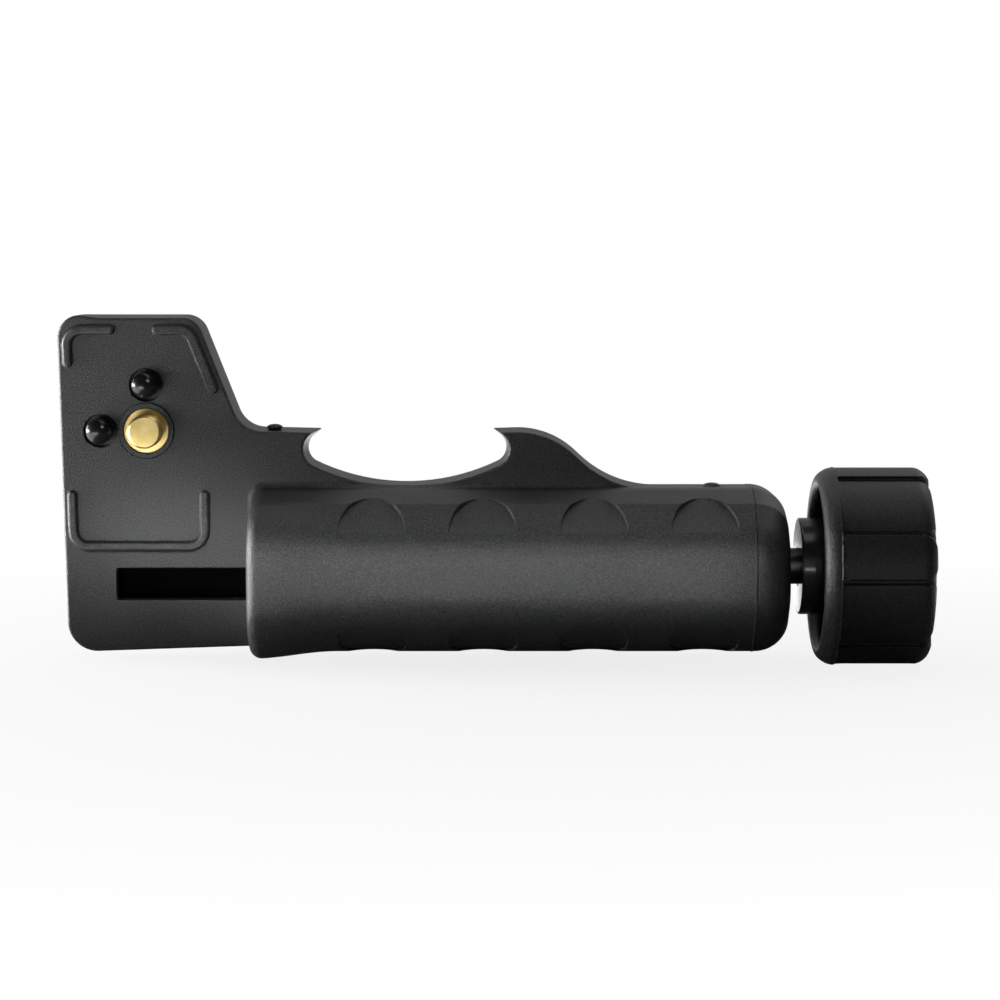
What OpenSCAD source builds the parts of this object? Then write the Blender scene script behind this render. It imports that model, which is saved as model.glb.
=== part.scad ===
// Rod clamp bracket for a laser level receiver.
// The receiver screws on to the front plate, and the handle clamps a levelling rod behind it.
// Millimetres. Origin: axis of the receiver screw, on the front face of the plate.
// +X runs along the handle to the knob, +Y away from the receiver, +Z up.

/* [Receiver plate] */
// Height of the plate above the receiver screw
plate_up = 21.9; // [21:0.1:25]
// Fall of the plate's foot below the handle's foot
plate_foot = 0.7; // [0.3:0.1:2]
// Reach of the plate left of the receiver screw, at its top
plate_left = 16.8; // [16:0.1:20]
// How far the left edge leans in, from top to bottom
plate_lean = 1.8; // [0:0.1:3]
// Reach of the plate right of the receiver screw, at its top
plate_right = 10; // [9.5:0.1:12]
// Run of the sloping right edge for each unit of fall
plate_slope = 0.394; // [0.3:0.002:0.45]
// Rise of the plate's foot from its left end to the handle
foot_rise = 1.4; // [0:0.1:2]
// Depth of the plate from its front face to the rear cover
plate_depth = 8; // [7.5:0.1:10]
// Wall of the front housing
wall = 2.6; // [2.2:0.1:2.9]
// Corner radius of the plate's top
top_corner = 4.3; // [3:0.1:5]
// Corner radius of the plate's foot
foot_corner = 5.5; // [4:0.1:7]
// Width of the raised ribs that the receiver rests on
rib_w = 1.6; // [1.2:0.1:2]
// Height of the raised ribs
rib_h = 0.7; // [0.5:0.1:1]

/* [Guide slot] */
// Left end of the slot, from the receiver screw
slot_left = -5.6; // [-7:0.1:-4]
// Height of the slot
slot_h = 6.1; // [5.6:0.1:6.6]
// Fall of the slot's middle below the clamp screw's axis
slot_drop = 3.95; // [3.6:0.05:4]

/* [Receiver fixing] */
// Thread diameter of the receiver screw
screw_d = 6.35; // [6:0.05:6.6]
// Length of thread that stands out of the plate
screw_reach = 4.4; // [3.5:0.1:6]
// Collar diameter of the receiver screw
collar_d = 8.7; // [8:0.1:9.2]
// Collar length
collar_len = 2.2; // [1.8:0.1:2.6]
// Neck diameter of the receiver screw
neck_d = 6.5; // [5.6:0.1:7]
// Outer diameter of the guide ring
guide_d = 10.4; // [10:0.1:12]
// How far the guide ring stands out of the plate
guide_proud = 0.5; // [0.3:0.1:0.8]
// Length of the guide ring
guide_len = 5.5; // [5:0.1:7]
// Diameter of the locating pins
pin_d = 4.9; // [4.4:0.1:5.4]
// Reach of the locating pins out of the plate
pin_reach = 4.2; // [3.5:0.1:5]
// Distance of each locating pin from the receiver screw
pin_pitch = 8.7; // [8.4:0.1:9.6]
// Diameter of the pins' feet in the plate
pin_foot_d = 3.6; // [3:0.1:4]
// Diameter of the thumb wheel
wheel_d = 18; // [15:0.5:19]
// Length of the thumb wheel
wheel_len = 11.5; // [9:0.5:14]
// Grip flutes round the thumb wheel
wheel_flutes = 20; // [12:1:24]

/* [Reading window] */
// Height of the reading edges above the receiver screw
edge_z = 0.45; // [0:0.05:0.8]
// Gap between the tips of the two hooks
window_gap = 33.8; // [30:0.1:36]
// Middle of the window, from the receiver screw
window_x = 49.2; // [48:0.1:51]
// Depth of the window below the reading edges
window_depth = 10.6; // [9.6:0.1:10.8]
// How far the window is undercut behind each tip
window_undercut = 4.7; // [4:0.1:5.2]
// Radius of the window's floor
window_floor_r = 40; // [36:1:44]
// Length of the right hook's crest from its tip
hook_crest = 10.4; // [9:0.1:12]
// Length of the right hook from its tip to the handle
hook_len = 22.6; // [21.5:0.1:25]

/* [Handle] */
// Left end of the handle, from the receiver screw
handle_left = 20; // [19.6:0.1:22]
// Length of the handle up to the end cap
handle_len = 94.8; // [93:0.1:100]
// Length of the end cap
cap_len = 7; // [6.5:0.1:9]
// Top of the handle, from the receiver screw
handle_top = -10.8; // [-11.2:0.1:-10.6]
// Height of the handle
handle_h = 30.5; // [30:0.1:33]
// Reach of the handle in front of the plate
handle_front = 15.6; // [15:0.1:18]
// Fall of the sloping top facet
facet_drop = 2.4; // [2:0.1:3]
// Reach of the sloping top facet in front of the plate
facet_front = 8.3; // [7.6:0.1:9]
// Fall of the upper shoulder, from the handle's top
shoulder_drop = 9.2; // [8.6:0.1:10]
// Rise of the lower shoulder, from the handle's foot
heel_rise = 7.8; // [7:0.1:8.6]
// How far the handle's left end stands proud
flare = 1.2; // [0.4:0.1:1.6]
// Length over which the left end's flare fades
flare_len = 17; // [14:0.5:20]
// Number of finger recesses along each shoulder
recess_count = 4; // [3:1:4]
// Pitch of the finger recesses
recess_pitch = 20.7; // [20:0.1:21.5]
// First finger recess, from the handle's left end
recess_first = 23.2; // [21:0.1:24]
// Radius of a finger recess
recess_r = 6.2; // [5:0.1:7]
// Depth of a finger recess
recess_depth = 0.45; // [0.3:0.05:0.6]

/* [Rod clamp] */
// Thickness of the rear cover, which the rod rests on
cover_t = 4; // [3.6:0.1:5]
// How far the rear cover is set in from the housing's edge
cover_inset = 0.5; // [0.3:0.1:1]
// Smallest rod width
jaw_min = 10; // [10:0.5:14]
// How far the moving jaw stands in from wide open, as drawn
jaw_in = 15; // [14:0.5:17]
// Gap between the nut carriage and the end cap with the jaws wide open
jaw_spare = 1; // [0.5:0.1:3]
// Reach of the jaws behind the rear cover
jaw_reach = 24; // [20:0.5:30]
// Height of the jaws
jaw_h = 27; // [24:0.5:28]
// Wall of the jaws
jaw_wall = 4; // [3.5:0.1:5]
// Length of the moving jaw's foot along the handle
jaw_foot = 18; // [17:0.5:19]
// Thickness of the moving jaw's foot
foot_t = 3.5; // [3:0.1:4]
// Thickness of the gussets that brace the jaws
gusset_t = 2.5; // [2:0.1:3.5]
// Thickness of the rubber pads
pad_t = 1.5; // [1:0.1:2]
// Rubber face of the fixed jaw, from the handle's left end
fixed_face = 4; // [3.6:0.1:5]
// Width of the moving jaw's neck in the rear cover
neck_w = 10; // [9.6:0.1:10.4]
// Outer diameter of the nut carriage
carriage_d = 14; // [13.4:0.1:14]
// Length of the nut carriage
carriage_len = 16; // [15:0.1:16.5]
// Height of the guide bar
bar_h = 5.5; // [5:0.1:5.5]
// Thickness of the guide bar
bar_t = 1.9; // [1.5:0.1:2]
// Diameter of the guide bar's rivet
rivet_d = 2.6; // [2:0.1:3]

/* [Clamp screw] */
// Depth of the screw's axis in front of the plate's face
axis_front = 4.5; // [4.4:0.1:5]
// Height of the screw's axis above the middle of the handle
axis_up = 0.75; // [0.4:0.05:1.1]
// Diameter of the lead screw
lead_d = 8; // [7.6:0.1:8]
// Diameter of the screw's journal in the end cap
journal_d = 6.8; // [6.4:0.1:7]
// Diameter of the screw's tail
tail_d = 5; // [4.4:0.1:5]
// Length of the tail bush
tail_len = 6.5; // [5.5:0.1:7]
// Outer diameter of the tail bush
tail_bush_d = 7; // [6.6:0.1:7.2]
// Outer diameter of the end bush
end_bush_d = 10; // [9:0.1:11]
// Thickness of the end bush's flange
flange_t = 1; // [0.8:0.1:1.4]
// Thickness of the thrust washer
washer_t = 1; // [0.8:0.1:1.4]
// Thickness of the retaining clip
clip_t = 0.8; // [0.6:0.1:1]
// Outer diameter of the jaw nut
nut_d = 11; // [10.4:0.1:11.4]
// Length of the jaw nut
nut_len = 8; // [7:0.1:9]

/* [Knob] */
// Diameter of the knob over its lobes
knob_d = 37.2; // [34:0.2:40]
// Length of the knob's rim
knob_len = 19.7; // [18:0.1:22]
// Gap between the end cap and the knob's hub
hub_gap = 2.2; // [1.8:0.1:3]
// How far the hub stands out of the rim
hub_proud = 3.5; // [3:0.1:4.5]
// Diameter of the hub
hub_d = 18.2; // [17:0.2:20]
// Thickness of the rubber grip
grip_t = 3; // [2.6:0.1:3.4]
// Number of lobes
lobes = 5; // [4:1:6]
// Angle that each lobe spans
lobe_angle = 28.5; // [24:0.5:34]
// Height of the lobes
lobe_h = 0.6; // [0.4:0.1:0.9]
// Turn of the front lobe above level
lobe_turn = 5; // [0:1:36]
// Shoulder radius of the grip
grip_edge = 2.4; // [1.5:0.1:2.5]
// Thickness of the knob's outer web
web_t = 5; // [4:0.1:6]
// Width of the hexagon that drives the knob, across its flats
drive_w = 6; // [5.4:0.1:6]
// Thread diameter of the knob's nut
stud_d = 5; // [4.4:0.1:5]
// Diameter of the knob's cover disc
disc_d = 22; // [18:0.5:24]

/* [Fasteners] */
// Shank diameter of the cover screws
cover_screw_d = 2.6; // [2.2:0.1:2.8]
// Head diameter of the cover screws
cover_head_d = 4.8; // [4.4:0.1:5]
// Head height of the cover screws
cover_head_h = 1.8; // [1.4:0.1:2]
// Length of the cover screws under their heads
cover_screw_len = 8; // [6:0.5:8.5]
// Diameter of the bosses that take the cover screws
boss_d = 5.4; // [5:0.1:5.4]

/* [Fits] */
// Clearance of a turning fit, on radius
run_gap = 0.05; // [0.02:0.01:0.08]
// Clearance of a sliding fit, on each side
slide_gap = 0.2; // [0.15:0.01:0.25]
// Clearance of a seated piece, on radius
seat_gap = 0.03; // [0.02:0.01:0.05]

/* [Hidden] */
$fn = 64;

BLACK = [0.09, 0.09, 0.1];
RUBBER = [0.06, 0.06, 0.065];
GLOSS = [0.03, 0.03, 0.03];
BRASS = [0.8, 0.62, 0.25];
STEEL = [0.55, 0.56, 0.58];
DARK_STEEL = [0.16, 0.16, 0.17];

// Overcut that carries a cut clear through a face
cut = 1;
// Thickness of the end slices of a lofted shape
slice = 0.1;
// Steps along a rounded corner
arc_steps = 6;
// Small rounding of inner corners
inner_r = 1;

// Where things lie along the handle
axis_y = -axis_front;
axis_z = handle_top - handle_h / 2 + axis_up;
slot_z = axis_z - slot_drop;
seam_x = handle_left + handle_len;
cap_right = seam_x + cap_len;
handle_foot = handle_top - handle_h;
plate_down = plate_foot - handle_foot;
cavity_left = handle_left + wall;
cover_y = plate_depth + cover_t;
jaw_tip = cover_y + jaw_reach;
jaw_top = axis_z + jaw_h / 2;
jaw_foot_z = axis_z - jaw_h / 2;

// Jaws: the rod widths at the ends of the moving jaw's travel and as drawn
spigot_len = 6.3;
fixed_face_x = handle_left + fixed_face;
carriage_right = seam_x - spigot_len - jaw_spare;
jaw_max = carriage_right - (jaw_foot + carriage_len) / 2 - pad_t - fixed_face_x;
jaw_open = jaw_max - jaw_in;
fixed_wall_x = fixed_face_x - pad_t - jaw_wall;
gusset_run = jaw_foot - jaw_wall;
moving_face_x = fixed_face_x + jaw_open;
moving_wall_x = moving_face_x + pad_t;
foot_y = cover_y + slide_gap;
carriage_x = moving_wall_x + (jaw_foot - carriage_len) / 2;
nut_x = carriage_x + carriage_len - nut_len;
travel_in = jaw_open - jaw_min;

// Guide bar: its end stops short of the slot's left end when the jaws are closed
bar_left = slot_left + travel_in + slide_gap + 2 * run_gap;
bar_y = wall - slide_gap - bar_t;
bar_root = nut_x - inner_r;
rivet_land = 1.2 * rivet_d;
rivet_side = 0.65 * rivet_d;
rivet_grip = 6;
rivet_x = bar_root - rivet_land;
rivet_z = slot_z + bar_h / 2 - rivet_side;
rivet_len = bar_t + rivet_grip;

// Clamp screw, from its tail to its end
tail_room = 1;
tail_x = cavity_left + tail_room;
tail_boss_right = tail_x + tail_len;
thread_left = tail_boss_right + slide_gap;
clip_room = 1.2;
pocket_x = cap_right - clip_t - clip_room;
end_boss_in = 0.5;
end_boss_left = seam_x - end_boss_in;
flange_x = end_boss_left - flange_t;
washer_x = flange_x - run_gap - washer_t;
thread_right = washer_x - run_gap;
clip_x = pocket_x + run_gap;
clip_groove = 0.6;
clip_ring = 1.7;
clip_groove_d = journal_d - 2 * clip_groove;
clip_d = journal_d + 2 * clip_ring;
hub_x = cap_right + hub_gap;
rim_x = hub_x + hub_proud;
knob_right = rim_x + knob_len;
drive_in = 2;
drive_x = hub_x + drive_in;
disc_t = 1.6;
disc_edge = 0.4;
disc_x = knob_right - disc_t;
stud_nut_h = 4;
stud_nut_w = 8;
stud_room = 1.8;
stud_end = 0.8;
nut_pocket_x = disc_x - stud_nut_h - stud_room;
drive_land = 1.2;
drive_end = nut_pocket_x - drive_land;
core_d = knob_d - 2 * grip_t;
rim_wall = 2.2;
web_x = knob_right - web_t;

// Receiver fixing, from front to back
guide_back = guide_len - guide_proud;
wheel_washer_t = 0.8;
wheel_y = guide_back + wheel_washer_t + 2 * run_gap;
bore_step = 0.25;
wheel_end = 2;
boss_wall = 2;
pin_foot_room = 0.8;
wheel_bore_d = neck_d - 2 * bore_step;
wheel_shank = wheel_len - wheel_end;
fix_boss_d = guide_d + 2 * boss_wall;
washer_d = fix_boss_d - boss_wall / 2;
pin_foot = plate_depth - wall - pin_foot_room;
pins = [[0, pin_pitch], [-pin_pitch, 0]];

// Cover screws: two rows, the last pair in the end cap, clear of the thrust washer
boss_bite = 1.2;
boss_top_z = handle_top - wall - boss_d / 2 + boss_bite;
boss_foot_z = handle_foot + wall + boss_d / 2 - boss_bite;
boss_gap = 0.3;
boss_side = 1.4;
cap_boss_x = washer_x - boss_gap - boss_d / 2;
plate_boss_x = -plate_left + plate_lean + wall + boss_d / 2 + boss_side;
tail_boss_x = tail_boss_right + cover_head_d / 2;
boss_x = [plate_boss_x, tail_boss_x, (tail_boss_x + cap_boss_x) / 2];
screw_x = concat(boss_x, [cap_boss_x]);
boss_front = 2;

// Plane geometry
function unit(v) = v / norm(v);
function flat(p) = [p[0], p[1]];
function turned(v, a) = [v[0] * cos(a) - v[1] * sin(a), v[0] * sin(a) + v[1] * cos(a)];
function wrap(list, i) = list[(i + len(list)) % len(list)];

// Points of one corner [x, y, radius] between its neighbours
function corner(a, b, c) =
    let (p = flat(b), u = unit(flat(a) - p), v = unit(flat(c) - p), half = acos(u * v) / 2)
    b[2] == 0 ? [p] :
    let (centre = p + unit(u + v) * b[2] / sin(half), start = p + u * b[2] / tan(half) - centre)
    let (end = p + v * b[2] / tan(half) - centre, sweep = sign(cross(start, end)) * (180 - 2 * half))
    [for (k = [0:arc_steps]) centre + turned(start, sweep * k / arc_steps)];

// A closed outline, and an open path, with their corners rounded
function rounded(c) = [for (i = [0:len(c) - 1]) each corner(wrap(c, i - 1), c[i], wrap(c, i + 1))];
function rounded_path(c) = let (n = len(c) - 1)
    concat([flat(c[0])], [for (i = [1:n - 1]) each corner(c[i - 1], c[i], c[i + 1])], [flat(c[n])]);

// A convex outline's corners moved in by w
function inset(c, w) = [for (i = [0:len(c) - 1])
    let (p = flat(c[i]), u = unit(flat(wrap(c, i - 1)) - p), v = unit(flat(wrap(c, i + 1)) - p))
    let (q = p + (u + v) * w / abs(cross(u, v)))
    [q[0], q[1], c[i][2] == 0 ? 0 : max(c[i][2] - w, inner_r)]];

// Outline of a strip of width w along a path
function path_normal(path, i) =
    let (d = path[min(i + 1, len(path) - 1)] - path[max(i - 1, 0)]) turned(unit(d), 90);
function strip(path, w) = let (n = len(path) - 1)
    concat([for (i = [0:n]) path[i] + path_normal(path, i) * w / 2],
        [for (i = [n:-1:0]) path[i] - path_normal(path, i) * w / 2]);

// Solids placed along the axes
module along_y(y0, y1) {
    translate([0, y1, 0]) rotate([90, 0, 0]) linear_extrude(height = y1 - y0) children();
}
module along_x(x0, x1) {
    translate([x0, 0, 0]) rotate([90, 0, 90]) linear_extrude(height = x1 - x0) children();
}
module rod_x(x0, x1, d) {
    translate([x0, axis_y, axis_z]) rotate([0, 90, 0]) cylinder(d = d, h = x1 - x0);
}
module hex_x(x0, x1, w) {
    translate([x0, axis_y, axis_z]) rotate([0, 90, 0]) cylinder(d = w / cos(30), h = x1 - x0, $fn = 6);
}
module tube_x(x0, x1, d, bore) {
    difference() {
        rod_x(x0, x1, d);
        rod_x(x0 - cut, x1 + cut, bore);
    }
}
module rod_y(x, z, y0, y1, d) {
    translate([x, y0, z]) rotate([-90, 0, 0]) cylinder(d = d, h = y1 - y0);
}
module block(x0, x1, y0, y1, z0, z1) {
    translate([x0, y0, z0]) cube([x1 - x0, y1 - y0, z1 - z0]);
}

// Outlines of the plate in X and Z
function left_x(z) = -plate_left + plate_lean * (plate_up - z) / (plate_up + plate_down);
function slope_x(z) = plate_right + plate_slope * (plate_up - z);
foot_end = handle_left + flare_len / 2;
window_left = window_x - window_gap / 2;
window_right = window_x + window_gap / 2;
floor_angle = 26;
floor_corner = edge_z - window_depth - window_floor_r * (1 / cos(floor_angle) - 1);
floor_half = window_gap / 2 + window_undercut;
floor_end = floor_corner + floor_half * tan(floor_angle);
undercut_r = 3;
web_z = handle_top - handle_h / 2;
hook_toe_x = window_right + hook_len;
crest_r = 16;
toe_r = 21;
web_right = hook_toe_x + toe_r / 2;
slope_toe_r = 5.5;
tip_drop = 0.35;
slab_corners = [
    [left_x(-plate_down), -plate_down, foot_corner], [foot_end, foot_rise - plate_down, 0],
    [foot_end, web_z, 0], [web_right, web_z, 0], [web_right, handle_top, 0],
    [hook_toe_x, handle_top, toe_r], [window_right + hook_crest, edge_z, crest_r],
    [window_right, edge_z - tip_drop, 0], [window_x + floor_half, floor_end, undercut_r],
    [window_x, floor_corner, window_floor_r], [window_x - floor_half, floor_end, undercut_r],
    [window_left, edge_z - tip_drop, 0], [slope_x(edge_z), edge_z, slope_toe_r],
    [plate_right, plate_up, top_corner], [-plate_left, plate_up, top_corner]];
tray_corners = [
    [left_x(handle_top), handle_top, top_corner], [slope_x(handle_top), handle_top, top_corner],
    [plate_right, plate_up, top_corner], [-plate_left, plate_up, top_corner]];
pocket_corners = [
    [left_x(-plate_down), -plate_down, foot_corner], [handle_left + wall, foot_rise - plate_down, 0],
    [handle_left + wall, handle_top, 0], [left_x(handle_top), handle_top, top_corner]];
hook_pocket = [
    [window_right + undercut_r, handle_top, inner_r], [hook_toe_x - undercut_r, handle_top, inner_r],
    [window_right + hook_crest, edge_z, inner_r], [window_right + window_undercut, edge_z, inner_r]];
cover_corners = [
    [left_x(-plate_down), -plate_down, foot_corner], [foot_end, foot_rise - plate_down, 0],
    [seam_x + cover_inset, handle_foot, 0], [seam_x + cover_inset, handle_top, 0],
    [left_x(handle_top), handle_top, inner_r]];

// Section of the handle in Y and Z, standing proud by f and reaching back to y
facet_back = facet_front / 5;
shoulder_r = handle_front * 0.7;
heel_r = facet_front * 0.7;
function handle_corners(f, y) = [
    [y, handle_top, 0], [-facet_back, handle_top, facet_front],
    [-facet_front - f, handle_top - facet_drop, inner_r],
    [-handle_front - f, handle_top - shoulder_drop + 2 * f, shoulder_r],
    [-handle_front - f, handle_foot + heel_rise - 2 * f, shoulder_r],
    [-facet_front - f, handle_foot - f, heel_r], [y, handle_foot - f, 0]];
module section(f, y, w) {
    polygon(rounded(inset(handle_corners(f, y), w)));
}
upper_a = handle_corners(0, 0)[2];
upper_b = handle_corners(0, 0)[3];
lower_a = handle_corners(0, 0)[5];
lower_b = handle_corners(0, 0)[4];
recess_along = recess_r * 0.75;
recess_tool = 5;

// Cutter of one finger recess on the shoulder that runs from corner a to corner b
module recess(x, a, b, side) {
    run = unit(flat(b) - flat(a));
    out = [run[1], -run[0]] * side;
    at = flat(a) + run * recess_along - out * recess_depth;
    translate([x, at[0], at[1]]) rotate([atan2(-out[0], out[1]), 0, 0])
        cylinder(r = recess_r, h = recess_tool);
}

module handle_solid() {
    left = handle_left;
    full = left + flare_len;
    hull() {
        along_x(left, left + slice) section(flare, plate_depth, flare);
        along_x(left + flare, left + flare_len / 3) section(flare, plate_depth, 0);
        along_x(full - slice, full) section(0, plate_depth, 0);
    }
    along_x(full - slice, seam_x) section(0, plate_depth, 0);
}

// Raised rib along a path of corners, with round ends
module raised_rib(c) {
    path = rounded_path(c);
    along_y(-rib_h, cut) {
        polygon(strip(path, rib_w));
        translate(path[0]) circle(d = rib_w);
        translate(path[len(path) - 1]) circle(d = rib_w);
    }
}

// Middle lines of the raised ribs, in X and Z
rib_edge = 1;
rib_drop = 2;
rib_side = rib_edge + rib_w / 2;
rib_slope_side = 1.6 * rib_side;
rib_top = plate_up - rib_drop - rib_w / 2;
rib_left_end = 12.9;
rib_right_end = 7.9;
rib_gap_left = -6.7;
rib_gap_right = 2.3;
rib_low_end = -12.3;
rib_low = -21.8;
rib_low_right = 12.2;
rib_r = 3;
module receiver_ribs() {
    raised_rib([
        [left_x(rib_left_end) + rib_side, rib_left_end], [left_x(plate_up) + rib_side, rib_top, rib_r],
        [rib_gap_left, rib_top]]);
    raised_rib([
        [rib_gap_right, rib_top], [slope_x(rib_top) - rib_slope_side, rib_top, rib_r],
        [slope_x(rib_right_end) - rib_slope_side, rib_right_end]]);
    raised_rib([
        [left_x(rib_low_end) + rib_side, rib_low_end], [left_x(rib_low) + rib_side, rib_low, rib_r],
        [rib_low_right, rib_low, rib_r], [rib_low_right, rib_low_end]]);
}

// Bosses inside the front housing
bush_wall = 2.5;
module housing_bosses() {
    rod_x(handle_left + wall / 2, tail_boss_right, tail_bush_d + 2 * bush_wall);
    rod_y(0, 0, wall / 2, guide_back, fix_boss_d);
    for (p = pins)
        rod_y(p[0], p[1], wall / 2, pin_foot, pin_foot_d + 2 * boss_wall);
    for (x = boss_x, z = [boss_top_z, boss_foot_z])
        rod_y(x, z, x < handle_left ? wall / 2 : boss_front, plate_depth, boss_d);
}

// Holes of the front housing
module housing_holes() {
    block(slot_left, handle_left + slice, -cut, wall + slice, slot_z - slot_h / 2, slot_z + slot_h / 2);
    block(handle_left, tail_boss_right + cut, 0, wall + slice, slot_z - slot_h / 2, slot_z + slot_h / 2);
    rod_x(tail_x, tail_boss_right + cut, tail_bush_d + 2 * seat_gap);
    rod_y(0, 0, -cut, guide_back + cut, guide_d + 2 * seat_gap);
    for (p = pins)
        rod_y(p[0], p[1], -cut, pin_foot + cut, pin_foot_d + 2 * seat_gap);
    for (x = boss_x, z = [boss_top_z, boss_foot_z])
        rod_y(x, z, cover_y - cover_head_h - cover_screw_len - cut, cover_y, cover_screw_d + 2 * seat_gap);
    for (i = [0:recess_count - 1]) {
        x = handle_left + recess_first + i * recess_pitch;
        recess(x, upper_a, upper_b, 1);
        recess(x, lower_a, lower_b, -1);
    }
}

module front_housing() {
    color(BLACK) difference() {
        union() {
            difference() {
                union() {
                    along_y(0, plate_depth) polygon(rounded(slab_corners));
                    handle_solid();
                    receiver_ribs();
                }
                along_x(cavity_left, seam_x + cut) section(0, plate_depth + 2 * wall, wall);
                along_y(wall, plate_depth + cut) {
                    polygon(rounded(inset(tray_corners, wall)));
                    polygon(rounded(inset(pocket_corners, wall)));
                    polygon(rounded(inset(hook_pocket, wall)));
                }
            }
            housing_bosses();
        }
        housing_holes();
    }
}

// Jaw wall and gussets, with its rubber side at x0 and its gussets on the side that dir points to
module jaw(x0, dir, y0) {
    at = x0 + dir * jaw_wall;
    translate([min(x0, at), y0, jaw_foot_z]) cube([jaw_wall, jaw_tip - y0, jaw_h]);
    for (z = [jaw_foot_z, jaw_top - gusset_t])
        translate([0, 0, z]) linear_extrude(height = gusset_t)
            polygon([[at, y0], [at + dir * gusset_run, y0], [at, jaw_tip - jaw_wall]]);
}

module rear_cover() {
    color(BLACK) difference() {
        union() {
            along_y(plate_depth, cover_y) polygon(rounded(inset(cover_corners, cover_inset)));
            jaw(fixed_wall_x + jaw_wall, -1, cover_y - slice);
        }
        block(carriage_x - travel_in - slide_gap, carriage_right + slide_gap,
            plate_depth - cut, cover_y + cut,
            axis_z - neck_w / 2 - slide_gap, axis_z + neck_w / 2 + slide_gap);
        for (x = screw_x, z = [boss_top_z, boss_foot_z]) {
            rod_y(x, z, plate_depth - cut, cover_y + cut, cover_screw_d + 2 * seat_gap);
            rod_y(x, z, cover_y - cover_head_h - seat_gap, cover_y + cut, cover_head_d + 2 * seat_gap);
        }
    }
}

module cap_section(w) {
    polygon(rounded(inset(handle_corners(0, cover_y - cover_inset), w)));
}
spigot_wall = 2;
cap_hollow = 0.45 * cap_len;
// Share of the cap's length, and how far its section is drawn in there
cap_steps = [[0, 0], [0.45, 0.8], [0.8, 2.6], [1, 5.2]];
module end_cap() {
    color(BLACK) difference() {
        union() {
            difference() {
                hull() for (s = cap_steps)
                    translate([s[0] * (cap_len - slice), 0, 0])
                        along_x(seam_x, seam_x + slice) cap_section(s[1]);
                along_x(seam_x - cut, seam_x + cap_hollow) section(0, plate_depth, wall + spigot_wall);
            }
            along_x(seam_x - spigot_len, seam_x + slice) difference() {
                section(0, plate_depth + wall - seat_gap, wall + seat_gap);
                section(0, plate_depth, wall + spigot_wall);
            }
            for (z = [boss_top_z, boss_foot_z])
                intersection() {
                    rod_y(cap_boss_x, z, 0, plate_depth - seat_gap, boss_d);
                    along_x(cap_boss_x - boss_d, seam_x)
                        section(0, plate_depth + wall - seat_gap, wall + seat_gap);
                }
            rod_x(end_boss_left, seam_x + cap_hollow + cut, end_bush_d + 2 * bush_wall);
        }
        rod_x(seam_x - spigot_len - cut, end_boss_left, flange_d + 2 * slide_gap);
        rod_x(end_boss_left - cut, cap_right + cut, end_bush_d + 2 * seat_gap);
        rod_x(pocket_x, cap_right + cut, clip_d + 2 * clip_groove);
        for (z = [boss_top_z, boss_foot_z])
            rod_y(cap_boss_x, z, -cut, plate_depth + cut, cover_screw_d + 2 * seat_gap);
    }
}

// The flange stays clear of the spigot's front wall
flange_d = 2 * (handle_front - axis_front - wall - spigot_wall - boss_gap);
module end_bush() {
    color(BRASS) {
        tube_x(end_boss_left - slice, pocket_x, end_bush_d, journal_d + 2 * run_gap);
        tube_x(flange_x, end_boss_left, flange_d, journal_d + 2 * run_gap);
    }
}

module tail_bush() {
    color(BRASS) tube_x(tail_x, tail_boss_right, tail_bush_d, tail_d + 2 * run_gap);
}

dome_r = pin_d * 0.6;
module locating_pins() {
    color(GLOSS) for (p = pins) {
        rod_y(p[0], p[1], -slice, pin_foot, pin_foot_d);
        intersection() {
            rod_y(p[0], p[1], -pin_reach, 0, pin_d);
            translate([p[0], dome_r - pin_reach, p[1]]) rotate([90, 0, 0]) rotate_extrude()
                union() {
                    intersection() {
                        circle(r = dome_r);
                        square(2 * dome_r);
                    }
                    translate([0, -pin_reach]) square([dome_r, pin_reach + slice]);
                }
        }
    }
}

module screw_guide() {
    color(BLACK) difference() {
        rod_y(0, 0, -guide_proud, guide_back, guide_d);
        rod_y(0, 0, -guide_proud - cut, collar_len + run_gap, collar_d + 2 * run_gap);
        rod_y(0, 0, 0, guide_back + cut, neck_d + 2 * run_gap);
    }
}

cross_len = cover_head_d * 0.6;
cross_w = 0.7;
module cover_screws() {
    head_y = cover_y - cover_head_h;
    color(DARK_STEEL) for (x = screw_x, z = [boss_top_z, boss_foot_z]) {
        rod_y(x, z, head_y - cover_screw_len, head_y + slice, cover_screw_d);
        difference() {
            rod_y(x, z, head_y, cover_y - seat_gap, cover_head_d);
            for (a = [0, 90])
                translate([x, cover_y, z]) rotate([0, a, 0])
                    cube([cross_len, 2 * cross_w, cross_w], center = true);
        }
    }
}

// Rubber pad that fills x0 to x0 + pad_t, with V grooves across its face at face_x
pad_edge = 1;
pad_grooves = 6;
groove_w = pad_t * 0.6;
module jaw_pad(x0, face_x, y0) {
    pitch = (jaw_tip - y0) / (pad_grooves + 1);
    color(RUBBER) difference() {
        block(x0, x0 + pad_t, y0 + pad_edge, jaw_tip - pad_edge, jaw_foot_z + pad_edge, jaw_top - pad_edge);
        for (i = [1:pad_grooves])
            translate([face_x, y0 + i * pitch, axis_z]) rotate([0, 0, 45])
                cube([groove_w, groove_w, jaw_h], center = true);
    }
}
module fixed_jaw_pad() {
    jaw_pad(fixed_face_x - pad_t, fixed_face_x, cover_y);
}
module moving_jaw_pad() {
    jaw_pad(moving_face_x, moving_face_x, foot_y);
}

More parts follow.
